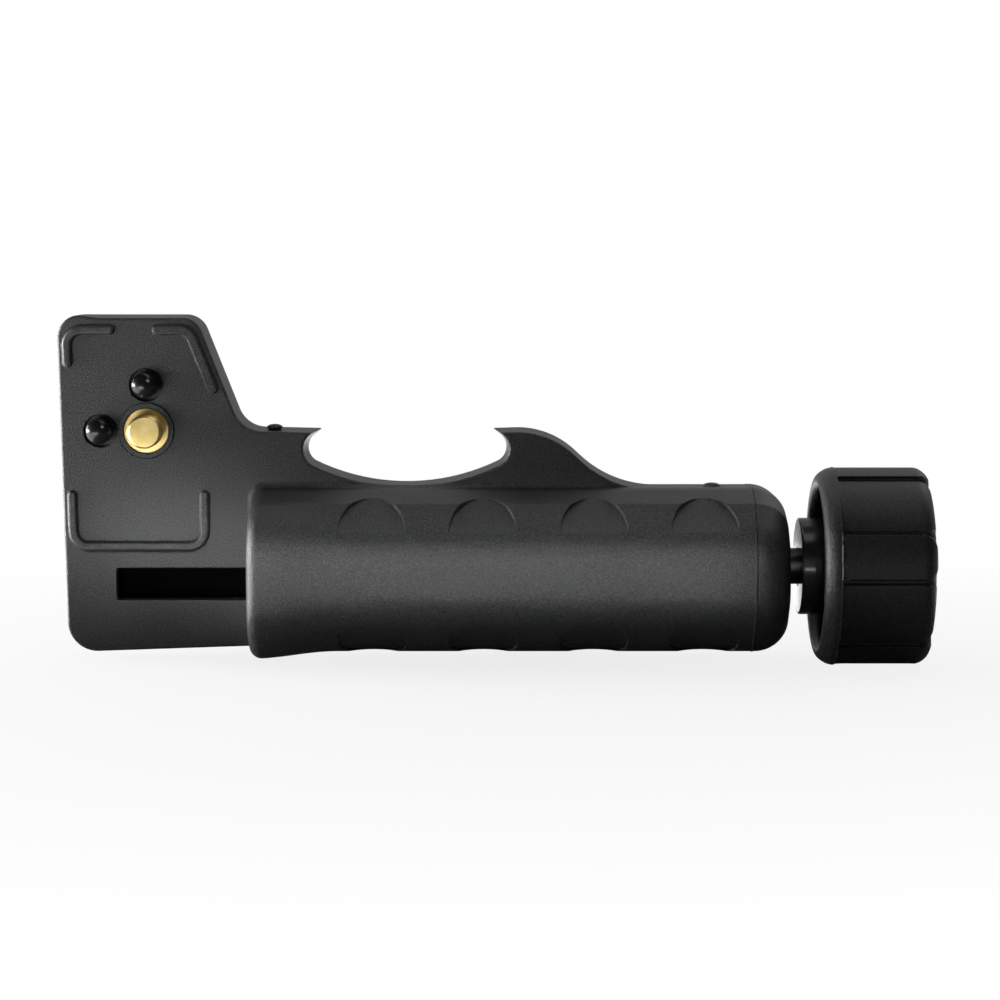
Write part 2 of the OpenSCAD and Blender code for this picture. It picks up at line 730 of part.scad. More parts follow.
tip_bevel = 0.5;
module fixing_screw() {
    color(BRASS) {
        rod_y(0, 0, tip_bevel - screw_reach, slice, screw_d);
        translate([0, -screw_reach, 0]) rotate([-90, 0, 0])
            cylinder(d1 = screw_d - 2 * tip_bevel, d2 = screw_d, h = tip_bevel);
        rod_y(0, 0, 0, collar_len, collar_d);
        rod_y(0, 0, collar_len - slice, wheel_y, neck_d);
        rod_y(0, 0, wheel_y - slice, wheel_y + wheel_shank, wheel_bore_d);
    }
}

module fixing_washer() {
    y = guide_back + run_gap;
    color(STEEL) difference() {
        rod_y(0, 0, y, y + wheel_washer_t, washer_d);
        rod_y(0, 0, y - cut, y + cut + wheel_washer_t, neck_d + 2 * run_gap);
    }
}

flute_d = 2;
wheel_rim_y = plate_depth + slide_gap;
module fixing_wheel() {
    color(BLACK) difference() {
        union() {
            rod_y(0, 0, wheel_y, wheel_y + wheel_len, washer_d);
            rod_y(0, 0, wheel_rim_y, wheel_y + wheel_len, wheel_d);
        }
        rod_y(0, 0, wheel_y - cut, wheel_y + wheel_shank + seat_gap, wheel_bore_d + 2 * seat_gap);
        for (i = [0:wheel_flutes - 1]) {
            a = i * 360 / wheel_flutes;
            rod_y(wheel_d / 2 * cos(a), wheel_d / 2 * sin(a), wheel_y, wheel_y + wheel_len + cut, flute_d);
        }
    }
}

module lead_screw() {
    color(DARK_STEEL) {
        rod_x(tail_x + slide_gap, thread_left + slice, tail_d);
        rod_x(thread_left, thread_right, lead_d);
        difference() {
            rod_x(thread_right - slice, drive_x + slice, journal_d);
            tube_x(clip_x - run_gap, clip_x + clip_t + run_gap, journal_d + cut, clip_groove_d);
        }
        hex_x(drive_x, drive_end, drive_w - 2 * seat_gap);
        rod_x(drive_end - slice, nut_pocket_x + stud_nut_h + stud_end, stud_d);
    }
}

thrust_d = flange_d - 2 * boss_gap;
module thrust_washer() {
    color(STEEL) tube_x(washer_x, washer_x + washer_t, thrust_d, journal_d + 2 * run_gap);
}

module retaining_clip() {
    mouth = 0.7 * clip_groove_d;
    color(STEEL) difference() {
        tube_x(clip_x, clip_x + clip_t, clip_d, clip_groove_d + 2 * run_gap);
        block(clip_x - cut, clip_x + clip_t + cut, axis_y - mouth / 2, axis_y + mouth / 2,
            axis_z - clip_d, axis_z);
    }
}

knob_ribs = 5;
rib_t = 1.6;
rib_back = 2.5;
rib_bite = 1;
rib_span = core_d / 2 - hub_d / 2 - rim_wall + 2 * rib_bite;
nut_pocket_d = stud_nut_w / cos(30) + 2 * clip_groove;
module knob_core() {
    color(BLACK) difference() {
        union() {
            rod_x(web_x, knob_right, core_d);
            tube_x(rim_x + rim_wall, knob_right, core_d, core_d - 2 * rim_wall);
            rod_x(hub_x, web_x + slice, hub_d);
            for (i = [0:knob_ribs - 1])
                translate([rim_x + rib_back, axis_y, axis_z]) rotate([i * 360 / knob_ribs, 0, 0])
                    translate([0, -rib_t / 2, hub_d / 2 - rib_bite])
                        cube([web_x - rim_x, rib_t, rib_span]);
        }
        rod_x(hub_x - cut, drive_x, journal_d + 2 * seat_gap);
        hex_x(drive_x - slice, drive_end, drive_w);
        rod_x(drive_end - slice, nut_pocket_x + slice, stud_d + 2 * seat_gap);
        rod_x(nut_pocket_x, disc_x + slice, nut_pocket_d);
        rod_x(disc_x, knob_right + cut, disc_d);
    }
}

// Cutter of one valley between two lobes of the grip
module grip_valley(r) {
    half = 180 / lobes - lobe_angle / 2;
    difference() {
        translate([0, 0, -cut]) linear_extrude(height = knob_len + 2 * cut)
            polygon([for (p = [[r / 2, -half], [2 * r, -half], [2 * r, half], [r / 2, half]])
                p[0] * [cos(p[1]), sin(p[1])]]);
        translate([0, 0, -2 * cut]) cylinder(r = r - lobe_h, h = knob_len + 4 * cut);
    }
}
module knob_grip() {
    r = knob_d / 2;
    bore = core_d / 2 + seat_gap;
    lip = bore - rim_wall;
    lip_t = rim_wall - seat_gap;
    color(RUBBER) translate([rim_x, axis_y, axis_z]) rotate([90, 0, 90]) difference() {
        rotate_extrude() polygon(rounded([[lip, 0, 0], [r, 0, grip_edge], [r, knob_len, grip_edge],
            [bore, knob_len, 0], [bore, lip_t, 0], [lip, lip_t, 0]]));
        for (i = [0:lobes - 1])
            rotate((i + 0.5) * 360 / lobes + 180 - lobe_turn) grip_valley(r);
    }
}

module knob_nut() {
    x = nut_pocket_x + seat_gap;
    color(STEEL) difference() {
        hex_x(x, x + stud_nut_h, stud_nut_w);
        rod_x(x - cut, x + stud_nut_h + cut, stud_d + 2 * seat_gap);
    }
}

module knob_cap() {
    color(BLACK) {
        rod_x(disc_x + seat_gap, knob_right - disc_edge, disc_d - 2 * seat_gap);
        translate([knob_right - disc_edge - slice, axis_y, axis_z]) rotate([0, 90, 0])
            cylinder(d1 = disc_d - 2 * seat_gap, d2 = disc_d - 2 * disc_edge, h = disc_edge + slice);
    }
}

module moving_jaw() {
    color(BLACK) difference() {
        union() {
            jaw(moving_wall_x, 1, foot_y);
            block(moving_wall_x, moving_wall_x + jaw_foot, foot_y, foot_y + foot_t, jaw_foot_z, jaw_top);
            block(carriage_x, carriage_x + carriage_len, axis_y, foot_y + slice,
                axis_z - neck_w / 2, axis_z + neck_w / 2);
            rod_x(carriage_x, carriage_x + carriage_len, carriage_d);
        }
        rod_x(carriage_x - cut, nut_x + cut, lead_d + 2 * slide_gap);
        rod_x(nut_x, nut_x + nut_len + cut, nut_d + 2 * seat_gap);
        block(carriage_x - cut, bar_root + seat_gap, bar_y - seat_gap, bar_y + bar_t + seat_gap,
            slot_z - bar_h / 2 - seat_gap, slot_z + bar_h / 2 + seat_gap);
        rod_y(rivet_x, rivet_z, bar_y, bar_y + rivet_len + seat_gap, rivet_d + 2 * seat_gap);
    }
}

module jaw_nut() {
    color(BRASS) tube_x(nut_x, nut_x + nut_len, nut_d, lead_d + 2 * run_gap);
}

module guide_bar() {
    color(STEEL) difference() {
        block(bar_left, bar_root, bar_y, bar_y + bar_t, slot_z - bar_h / 2, slot_z + bar_h / 2);
        rod_y(rivet_x, rivet_z, bar_y - cut, bar_y + bar_t + cut, rivet_d + 2 * seat_gap);
    }
}

module bar_rivet() {
    color(STEEL) rod_y(rivet_x, rivet_z, bar_y, bar_y + rivet_len, rivet_d);
}

front_housing();
rear_cover();
end_cap();
end_bush();
tail_bush();
locating_pins();
screw_guide();
cover_screws();
fixed_jaw_pad();
fixing_screw();
fixing_washer();
fixing_wheel();
lead_screw();
thrust_washer();
retaining_clip();
knob_core();
knob_grip();
knob_nut();
knob_cap();
moving_jaw();
jaw_nut();
guide_bar();
bar_rivet();
moving_jaw_pad();
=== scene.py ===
"""Looks of the rod clamp bracket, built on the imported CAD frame.

Shapes are written in millimetres in the CAD frame: origin on the receiver screw's axis at the plate's
front face, +X along the handle to the knob, +Y away from the receiver, +Z up. The stage is in metres.
"""
import math
from concurrent.futures import ThreadPoolExecutor

import bpy
import numpy as np
import openvdb
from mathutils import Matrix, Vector


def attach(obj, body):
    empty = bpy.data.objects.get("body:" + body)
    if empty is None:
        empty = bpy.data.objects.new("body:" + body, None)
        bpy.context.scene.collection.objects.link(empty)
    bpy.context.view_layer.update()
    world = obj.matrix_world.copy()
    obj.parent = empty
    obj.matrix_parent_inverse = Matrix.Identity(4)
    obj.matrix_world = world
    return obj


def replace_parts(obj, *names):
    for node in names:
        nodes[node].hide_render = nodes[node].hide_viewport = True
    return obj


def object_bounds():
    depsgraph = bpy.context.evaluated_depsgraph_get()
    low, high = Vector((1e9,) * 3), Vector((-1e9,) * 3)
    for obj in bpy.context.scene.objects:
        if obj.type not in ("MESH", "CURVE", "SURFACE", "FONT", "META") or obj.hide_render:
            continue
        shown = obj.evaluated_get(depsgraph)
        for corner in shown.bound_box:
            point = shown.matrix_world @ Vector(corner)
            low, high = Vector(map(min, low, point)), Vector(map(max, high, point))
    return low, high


MM = 0.001
THREADS = 4
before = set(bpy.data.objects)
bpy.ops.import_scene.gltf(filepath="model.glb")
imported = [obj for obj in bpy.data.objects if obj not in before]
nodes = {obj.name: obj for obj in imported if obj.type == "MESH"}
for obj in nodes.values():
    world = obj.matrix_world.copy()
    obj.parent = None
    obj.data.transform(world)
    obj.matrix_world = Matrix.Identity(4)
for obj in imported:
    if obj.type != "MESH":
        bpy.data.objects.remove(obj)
cad_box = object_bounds()

# Place of the clamp screw's axis, which runs along X, and of the receiver screw's, which runs along Y
AXIS = (0.0, -4.5, -25.3)
ORIGIN = (0.0, 0.0, 0.0)


# Materials

NOISE_SPAN = (0.35, 0.65)
GRAIN_SPAN = (0.4, 0.72)
GLOSS_PATCH = 14.0
PATCH_SHARE = 0.3
STAIN = 2.6


def add(tree, kind, links=None, **values):
    """A shader node with its properties and input values set, and its inputs linked."""
    made = tree.nodes.new(kind)
    for key, value in values.items():
        if hasattr(made, key):
            setattr(made, key, value)
        else:
            made.inputs[key.replace("_", " ")].default_value = value
    for socket, source in (links or {}).items():
        tree.links.new(made.inputs[socket], source)
    return made


def maths(tree, operation, a, b):
    """The outcome of an operation on two sockets."""
    return add(tree, "ShaderNodeMath", {0: a, 1: b}, operation=operation).outputs[0]


def distance(tree, where, centre, across=(1, 1, 1)):
    """Distance from a centre, measured in the directions that across keeps."""
    off = add(tree, "ShaderNodeVectorMath", {0: where}, operation="SUBTRACT")
    off.inputs[1].default_value = centre
    kept = add(tree, "ShaderNodeVectorMath", {0: off.outputs[0]}, operation="MULTIPLY")
    kept.inputs[1].default_value = across
    return add(tree, "ShaderNodeVectorMath", {0: kept.outputs[0]}, operation="LENGTH").outputs["Value"]


def shader(name, metallic=0.0, specular=0.5):
    made = bpy.data.materials.new(name)
    made.use_nodes = True
    surface = made.node_tree.nodes["Principled BSDF"]
    surface.inputs["Metallic"].default_value = metallic
    surface.inputs["Specular IOR Level"].default_value = specular
    return made, made.node_tree, surface


def noise(tree, where, size, detail, roughness):
    """Noise whose blotches are about size millimetres wide."""
    return add(tree, "ShaderNodeTexNoise", {"Vector": where}, Scale=1 / (size * MM), Detail=detail,
               Roughness=roughness).outputs[0]


def spread(tree, value, low, high, span=NOISE_SPAN):
    """A value that goes from low to high as another goes over a span."""
    return add(tree, "ShaderNodeMapRange", {0: value}, From_Min=span[0], From_Max=span[1], To_Min=low,
               To_Max=high).outputs[0]


def tint(tree, value, dark, light, span=NOISE_SPAN):
    """A colour that goes from dark to light as a value goes over a span."""
    ramp = add(tree, "ShaderNodeValToRGB", {0: value})
    for element, position, colour in zip(ramp.color_ramp.elements, span, (dark, light)):
        element.position = position
        element.color = (*colour, 1)
    return ramp.outputs[0]


def bump(tree, height, depth):
    return add(tree, "ShaderNodeBump", {"Height": height}, Distance=depth * MM).outputs[0]


def grained(name, dark, light, rough, grain, depth, specular=0.5):
    """A moulded surface: fine grain in colour, gloss and height, and slow changes of gloss across it."""
    made, tree, surface = shader(name, specular=specular)
    where = add(tree, "ShaderNodeTexCoord").outputs["Object"]
    fine = noise(tree, where, grain, 3.0, 0.6)
    broad = noise(tree, where, GLOSS_PATCH, 2.0, 0.5)
    both = add(tree, "ShaderNodeMix", {2: fine, 3: broad}, data_type="FLOAT", Factor=PATCH_SHARE).outputs[0]
    link = tree.links.new
    link(surface.inputs["Base Color"], tint(tree, fine, dark, light, GRAIN_SPAN))
    link(surface.inputs["Roughness"], spread(tree, both, *rough))
    link(surface.inputs["Normal"], bump(tree, fine, depth))
    return made


def machined(name, dark, light, rough, line, depth, centre=AXIS, across=(0, 1, 1)):
    """Turned metal: rings, a line apart, around an axis through centre, and a slow stain."""
    made, tree, surface = shader(name, metallic=1.0)
    where = add(tree, "ShaderNodeTexCoord").outputs["Object"]
    radius = distance(tree, where, [c * MM for c in centre], across)
    turns = add(tree, "ShaderNodeMath", {0: radius}, operation="MULTIPLY")
    turns.inputs[1].default_value = 2 * math.pi / (line * MM)
    rings = add(tree, "ShaderNodeMath", {0: turns.outputs[0]}, operation="SINE").outputs[0]
    stain = noise(tree, where, STAIN, 4.0, 0.6)
    link = tree.links.new
    link(surface.inputs["Base Color"], tint(tree, stain, dark, light))
    link(surface.inputs["Roughness"], spread(tree, stain, *rough))
    link(surface.inputs["Normal"], bump(tree, rings, depth))
    return made


plastic = grained("moulded_plastic", (0.009, 0.0095, 0.010), (0.070, 0.073, 0.077), rough=(0.31, 0.40),
                  grain=0.27, depth=0.13)
hub_plastic = grained("smooth_plastic", (0.007, 0.007, 0.008), (0.013, 0.013, 0.014), rough=(0.16, 0.24),
                      grain=0.4, depth=0.002)
rubber = grained("grip_rubber", (0.007, 0.0072, 0.0075), (0.040, 0.041, 0.043), rough=(0.36, 0.46),
                 grain=0.36, depth=0.1)
pad_rubber = grained("pad_rubber", (0.010, 0.010, 0.010), (0.024, 0.024, 0.024), rough=(0.62, 0.8),
                     grain=0.3, depth=0.02, specular=0.35)
pin_gloss = grained("pin_gloss", (0.004, 0.004, 0.004), (0.007, 0.007, 0.007), rough=(0.21, 0.26),
                    grain=0.6, depth=0.001)
# Near-black matt finish for the lining behind the slot: painted shade, darker than the plastic around it
shade_lining = grained("painted_shade_matt", (0.0015, 0.0015, 0.0015), (0.004, 0.004, 0.004), rough=(0.9, 1.0),
                 grain=0.25, depth=0.03, specular=0.05)
brass = machined("turned_brass", (0.86, 0.63, 0.23), (0.93, 0.73, 0.33), rough=(0.29, 0.35),
                 line=0.5, depth=0.0008, centre=ORIGIN, across=(1, 0, 1))
bronze = machined("bearing_bronze", (0.42, 0.24, 0.10), (0.56, 0.35, 0.16), rough=(0.3, 0.45),
                  line=0.25, depth=0.004)
black_steel = machined("black_steel", (0.035, 0.035, 0.038), (0.07, 0.07, 0.075), rough=(0.28, 0.45),
                       line=0.3, depth=0.003)
bright_steel = machined("bright_steel", (0.52, 0.53, 0.54), (0.66, 0.67, 0.68), rough=(0.29, 0.38),
                        line=0.3, depth=0.003)


# Solids as signed distances: negative inside, in millimetres

FAR = 1e3


def join(a, b, r):
    """Both solids, with a fillet of radius r where they meet."""
    return np.maximum(r, np.minimum(a, b)) - np.hypot(np.maximum(r - a, 0), np.maximum(r - b, 0))


def meet(a, b, r):
    """What both solids share, with its edge rounded to r."""
    return -join(-a, -b, r)


def cut(a, b, r):
    """The first solid without the second, with its new edges rounded to r."""
    return meet(a, -b, r)


def between(t, low, high):
    """A slab that lies between two values of t."""
    return np.maximum(low - t, t - high)


def ease(t):
    """A smooth step from 0 to 1 as t goes from 0 to 1."""
    t = np.clip(t, 0, 1)
    return t * t * (3 - 2 * t)


def bead(t, height, width):
    """Height of a fine raised line along t = 0."""
    return height * np.exp(-(t / width) ** 2)


def brick(x, y, z, low, high, r):
    """A block with its edges rounded to r."""
    far = [np.abs(p - (a + b) / 2) - (b - a) / 2 + r for p, a, b in zip((x, y, z), low, high)]
    outside = np.sqrt(sum(np.maximum(q, 0) ** 2 for q in far))
    return outside + np.minimum(np.maximum(np.maximum(far[0], far[1]), far[2]), 0) - r


def rod_y(x, y, z, at, y0, y1, r, edge=0.0):
    """A rod along Y around a place in X and Z."""
    return meet(np.hypot(x - at[0], z - at[1]) - r, between(y, y0, y1), edge)


def rod_x(x, y, z, x0, x1, r, edge=0.0):
    """A rod along the clamp screw's axis."""
    return meet(np.hypot(y - AXIS[1], z - AXIS[2]) - r, between(x, x0, x1), edge)


def near(x, low, high):
    """Whether any place asked for lies along X within a run, or close to it."""
    return x.min() < high + 2 and x.max() > low - 2


# Outlines, from corners that are each rounded by an arc

ARC_STEP = 3.0
TABLE_PITCH = 0.12
TABLE_MARGIN = 4.0


def arc(last, here, following, r):
    """Points of the arc of radius r that rounds the corner between two neighbours."""
    to_last = (last - here) / np.linalg.norm(last - here)
    to_next = (following - here) / np.linalg.norm(following - here)
    half = math.acos(np.clip(to_last @ to_next, -1, 1)) / 2
    middle = (to_last + to_next) / np.linalg.norm(to_last + to_next)
    centre = here + middle * r / math.sin(half)
    start = here + to_last * r / math.tan(half) - centre
    end = here + to_next * r / math.tan(half) - centre
    sweep = math.copysign(math.pi - 2 * half, start[0] * end[1] - start[1] * end[0])
    steps = int(abs(math.degrees(sweep)) / ARC_STEP) + 2
    turns = [sweep * k / steps for k in range(steps + 1)]
    return [centre + (start[0] * math.cos(t) - start[1] * math.sin(t),
                      start[0] * math.sin(t) + start[1] * math.cos(t)) for t in turns]


def rounded(corners, closed=True):
    """Points of an outline, or of an open path, of corners (u, v, radius)."""
    places = [np.array(corner[:2], float) for corner in corners]
    points = []
    for i, corner in enumerate(corners):
        is_end = not closed and i in (0, len(corners) - 1)
        if corner[2] == 0 or is_end:
            points.append(places[i])
        else:
            points.extend(arc(places[i - 1], places[i], places[(i + 1) % len(places)], corner[2]))
    return np.array(points)


def from_edges(starts, ends, u, v):
    """Least squared distance to the edges, and whether a place is inside them."""
    least, inside = 1e9, False
    for a, b in zip(starts, ends):
        eu, ev = b - a
        wu, wv = u - a[0], v - a[1]
        t = np.clip((wu * eu + wv * ev) / (eu * eu + ev * ev), 0, 1)
        least = np.minimum(least, (wu - t * eu) ** 2 + (wv - t * ev) ** 2)
        if ev != 0:
            inside = inside ^ (((v >= a[1]) != (v >= b[1])) & (wu < eu * wv / ev))
    return least, inside


def outline(points, u, v):
    """Signed distance to a closed outline."""
    least, inside = from_edges(points, np.roll(points, -1, 0), u, v)
    return np.where(inside, -1, 1) * np.sqrt(least)


def table(corners, closed=True):
    """Signed distance to an outline, or distance to an open path, read from a grid of values."""
    points = rounded(corners, closed)
    low = points.min(0) - TABLE_MARGIN
    count = ((points.max(0) + TABLE_MARGIN - low) / TABLE_PITCH).astype(int) + 2
    u, v = [np.float32(a + TABLE_PITCH * np.arange(n)) for a, n in zip(low, count)]
    ends = np.roll(points, -1, 0) if closed else points[1:]
    least, inside = from_edges(points[:len(ends)], ends, u[:, None], v[None, :])
    values = np.where(inside & closed, -1, 1).astype(np.float32) * np.sqrt(least)

    def read(u, v):
        a = np.clip((u - low[0]) / TABLE_PITCH, 0, count[0] - 1.01)
        b = np.clip((v - low[1]) / TABLE_PITCH, 0, count[1] - 1.01)
        i, j = a.astype(np.int32), b.astype(np.int32)
        a, b = a - i, b - j
        return ((values[i, j] * (1 - b) + values[i, j + 1] * b) * (1 - a)
                + (values[i + 1, j] * (1 - b) + values[i + 1, j + 1] * b) * a)

    return read


# Meshes of solids

BAND = 3
SLICE = 16
BUNCH = 20000
PROBE = 0.04

# Lowest and highest corners of a box around each solid
BOXES = {
    "front_shell": [(-16.9, -16.9, -42.6), (115, 8.1, 22)],
    "end_shell": [(106, -15.7, -41.4), (122, 11.6, -10.7)],
    "cover_shell": [(-16, 7.9, -42), (115.5, 36.1, -10.7)],
    "slot_painted_shade": [(-8, 3.3, -34.5), (22, 11, -24)],
    "jaw_shell": [(75.4, -11.6, -38.9), (93.6, 36.1, -11.7)],
    "grip_shell": [(126.4, -23.2, -44), (147.3, 14.2, -6.6)],
    "core_shell": [(123.1, -20.2, -41), (147.3, 11.2, -9.6)],
    "wheel_shell": [(-9.1, 5.8, -9.1), (9.1, 17.5, 9.1)],
    "lead_shell": [(23.7, -8.6, -29.4), (144.7, -0.4, -21.2)],
    "brass_shell": [(-4.5, -4.5, -4.5), (4.5, 15.5, 4.5)],
    "pins_shell": [(-11.2, -4.3, -2.5), (2.5, 4.6, 11.2)]}


def sample(solid, low, high, step):
    """Axes of a grid around a box, and a solid's values there in steps, as far as meshing needs them."""
    axes = [np.arange(a - BAND * step, b + (BAND + 1) * step, step, np.float32) for a, b in zip(low, high)]
    y, z = axes[1][None, :, None], axes[2][None, None, :]

    def values(x):
        return np.clip(solid(x, y, z) / step, -BAND, BAND).astype(np.float32)

    slices = [axes[0][i:i + SLICE, None, None] for i in range(0, len(axes[0]), SLICE)]
    with ThreadPoolExecutor(THREADS) as pool:
        return axes, np.concatenate(list(pool.map(values, slices)))


def sampled(solid, points):
    """Values of a solid at points, taken in bunches along X."""
    order = np.argsort(points[:, 0])
    bunches = np.array_split(order, max(1, len(order) // BUNCH))
    values = np.empty(len(points))
    with ThreadPoolExecutor(THREADS) as pool:
        for bunch, part in zip(bunches, pool.map(lambda b: solid(*points[b].T), bunches)):
            values[bunch] = part
    return values


def slope(solid, points):
    """Value and gradient of a solid at points, from four probes around each."""
    probes = PROBE * np.array([[1, -1, -1], [-1, -1, 1], [-1, 1, -1], [1, 1, 1]])
    values = [sampled(solid, points + p) for p in probes]
    return sum(values) / 4, sum(v[:, None] * p for v, p in zip(values, probes)) / (4 * PROBE * PROBE)


def unit(vectors):
    return vectors / np.maximum(np.linalg.norm(vectors, axis=1), 1e-9)[:, None]


def settled(solid, points, step):
    """Points moved on to a solid's surface, by half a step at most each time."""
    for _ in range(2):
        value, grad = slope(solid, points)
        push = -value[:, None] * grad / np.maximum((grad * grad).sum(1), 0.05)[:, None]
        length = np.maximum(np.linalg.norm(push, axis=1), 1e-9)
        points = points + push * np.minimum(1, 0.5 * step / length)[:, None]
    return points


def set_normals(mesh, solid):
    """Gives each corner the solid's slope beside it, on its own face's side of any sharp edge."""
    corner = np.empty(len(mesh.loops), np.int32)
    mesh.loops.foreach_get("vertex_index", corner)
    sizes = np.empty(len(mesh.polygons), np.int32)
    mesh.polygons.foreach_get("loop_total", sizes)
    places = np.empty(len(mesh.vertices) * 3, np.float32)
    mesh.vertices.foreach_get("co", places)
    places = places.reshape(-1, 3)[corner].astype(float) / MM
    owner = np.repeat(np.arange(len(sizes)), sizes)
    middle = np.stack([np.bincount(owner, places[:, k]) for k in range(3)], 1) / sizes[:, None]
    flat = unit(slope(solid, middle)[1])[owner]
    halfway = unit(slope(solid, (places + middle[owner]) / 2)[1])
    mesh.polygons.foreach_set("use_smooth", [True] * len(sizes))
    mesh.normals_split_custom_set(unit(2 * halfway - flat).tolist())


def moulded(name, solid, body, finish, step=0.25, adapt=0.012):
    """A piece that is the mesh of a solid, lighter where it is flat, and rides on a body."""
    axes, field = sample(solid, *BOXES[name], step)
    grid = openvdb.FloatGrid(float(BAND))
    grid.copyFromArray(field)
    points, triangles, quads = grid.convertToPolygons(isovalue=0.0, adaptivity=adapt)
    points = settled(solid, points.astype(float) * step + [a[0] for a in axes], step)
    mesh = bpy.data.meshes.new(name)
    mesh.from_pydata((points * MM).tolist(), [], triangles.tolist() + quads.tolist())
    mesh.validate()
    set_normals(mesh, solid)
    mesh.materials.append(finish)
    made = bpy.data.objects.new(name, mesh)
    bpy.context.scene.collection.objects.link(made)
    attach(made, body)
    return made


def stand_for(node, name, solid, body, finish, step=0.25, adapt=0.012):
    """A moulded piece in place of a CAD node."""
    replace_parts(moulded(name, solid, body, finish, step, adapt), node)


# Sizes that several pieces share

FIT = 0.03
WALL = 2.6
PLATE_BACK = 8.0
COVER_BACK = 12.0
COVER_INSET = 0.5
PLATE_TOP = 21.9
HOOK_TOP = 0.45
HANDLE_TOP, HANDLE_LOW = -10.8, -41.3
GRIP_LEFT, GRIP_FRONT = 20.0, -15.6
SEAM, CAP_END = 114.8, 121.5
SEAM_EDGE = 0.06
JAW_TIP = 36.0
JAW_LOW, JAW_TOP = -38.8, -11.8

# Places in X and Z
RECEIVER_AT = (0.0, 0.0)
PINS = [(0, 8.7), (-8.7, 0)]
SCREW_Z = [-14.9, -37.2]
FRONT_SCREWS = [(sx, sz) for sx in (-8.3, 32.5, 70.875) for sz in SCREW_Z]
CAP_SCREWS = [(109.25, sz) for sz in SCREW_Z]

STEM_R = 1.8
GUIDE_R = 5.2
END_BUSH_R, TAIL_BUSH_R = 5.0, 3.5
SCREW_R, SCREW_HEAD_R, SCREW_HEAD_Y = 1.3, 2.4, 10.2
SCREW_BOSS_R = 2.7


# Front moulding: plate in X and Z, handle's section in Y and Z

SLAB = table([
    (-15.3, -42.4, 5.7), (28.5, -40.9, 0), (28.5, -26.05, 0), (99.2, -26.05, 0), (99.2, HANDLE_TOP, 0),
    (88.7, HANDLE_TOP, 21), (76.5, HOOK_TOP, 16), (65.6, 0.1, 0.1), (70.8, -4.119, 3), (49.2, -14.654, 40),
    (27.6, -4.119, 3), (33.1, 0.1, 0.1), (18.451, HOOK_TOP, 5.5), (10, PLATE_TOP, 4.3),
    (-16.8, PLATE_TOP, 4.3)])
TRAY = table([(-15.879, HANDLE_TOP, 4.3), (22.884, HANDLE_TOP, 4.3), (10, PLATE_TOP, 4.3),
              (-16.8, PLATE_TOP, 4.3)])
POCKET = table([(-15, -42, 5.5), (22.6, -40.6, 0), (22.6, HANDLE_TOP, 0), (-15.879, HANDLE_TOP, 4.3)])
HOOK = table([(69.1, HANDLE_TOP, 1), (85.7, HANDLE_TOP, 1), (76.5, HOOK_TOP, 1), (70.8, HOOK_TOP, 1)])
COVER = table([(-15, -42, 5.5), (28.5, -40.6, 0), (115.3, HANDLE_LOW, 0), (115.3, HANDLE_TOP, 0),
               (-15.879, HANDLE_TOP, 1)])


def section(back, edge=0.0):
    """The handle's section, which ends at a place in Y."""
    return table([(back, HANDLE_TOP, edge), (-1.66, HANDLE_TOP, 8.3), (-8.3, -13.2, 1),
                  (GRIP_FRONT, -20, 10.92), (GRIP_FRONT, -33.5, 10.92), (-8.3, HANDLE_LOW, 5.81),
                  (back, HANDLE_LOW, edge)])


HANDLE, DEEP, CAP = section(PLATE_BACK), section(30), section(11.5, 3.0)
FLARE_FRONT, FLARE_LOW = -16.8, -42.5
FLARED = table([(PLATE_BACK, HANDLE_TOP, 0), (-1.66, HANDLE_TOP, 8.3), (-9.5, -13.2, 1),
                (FLARE_FRONT, -17.6, 10.92), (FLARE_FRONT, -35.9, 10.92), (-9.5, FLARE_LOW, 5.81),
                (PLATE_BACK, FLARE_LOW, 0)])
FLARE_START, FLARE_END = 21.0, 36.5
HOLLOW_LEFT = 22.6
PLATE_DRAFT = 0.07
PLATE_EDGE, BACK_EDGE = 0.5, 0.4
GRIP_EDGE, GRIP_FILLET = 2.4, 1.3
TAIL_BOSS_X, TAIL_BOSS_R, TAIL_SEAT_X = (21.3, 30.1), 6, 23.6
SLOT = [(-6, -3, -32.3), (30, 2.7, -26.2)]

# Paths of the plate's ribs, and the rounding of each rib's edges
RIB_HALF, RIB_H = 0.85, 1.0
RIBS = [
    (table([(-14.75, 12.9, 0), (-15, 19.1, 3), (-6.7, 19.1, 0)], False), 0.55),
    (table([(2.3, 19.1, 0), (8.22, 19.1, 3), (12.64, 7.9, 0)], False), 0.3),
    (table([(-14.2, -12.3, 0), (-13.95, -22, 3), (10.95, -22, 3), (10.95, -12.3, 0)], False), 0.55)]

# Bosses and bores along Y: place in X and Z, start, end, radius, and the rounding of the edge
BOSS_FILLET = 0.3
BOSSES = ([(RECEIVER_AT, 1.3, 5.0, 7.2, 0.3)]
          + [(pin, 1.3, 4.6, 3.8, 0.3) for pin in PINS]
          + [(at, 1.3 if at[0] < GRIP_LEFT else 2.0, PLATE_BACK, SCREW_BOSS_R, 0.0) for at in FRONT_SCREWS])
BEFORE, BEYOND = -3, 9
BORES = ([(RECEIVER_AT, BEFORE, BEYOND, GUIDE_R + FIT, 0.15)]
         + [(pin, BEFORE, 1.4, 3.15, 0.12) for pin in PINS]
         + [(pin, BEFORE, BEYOND, STEM_R + FIT, 0.0) for pin in PINS]
         + [(at, WALL, BEYOND, SCREW_R + FIT, 0.0) for at in FRONT_SCREWS])

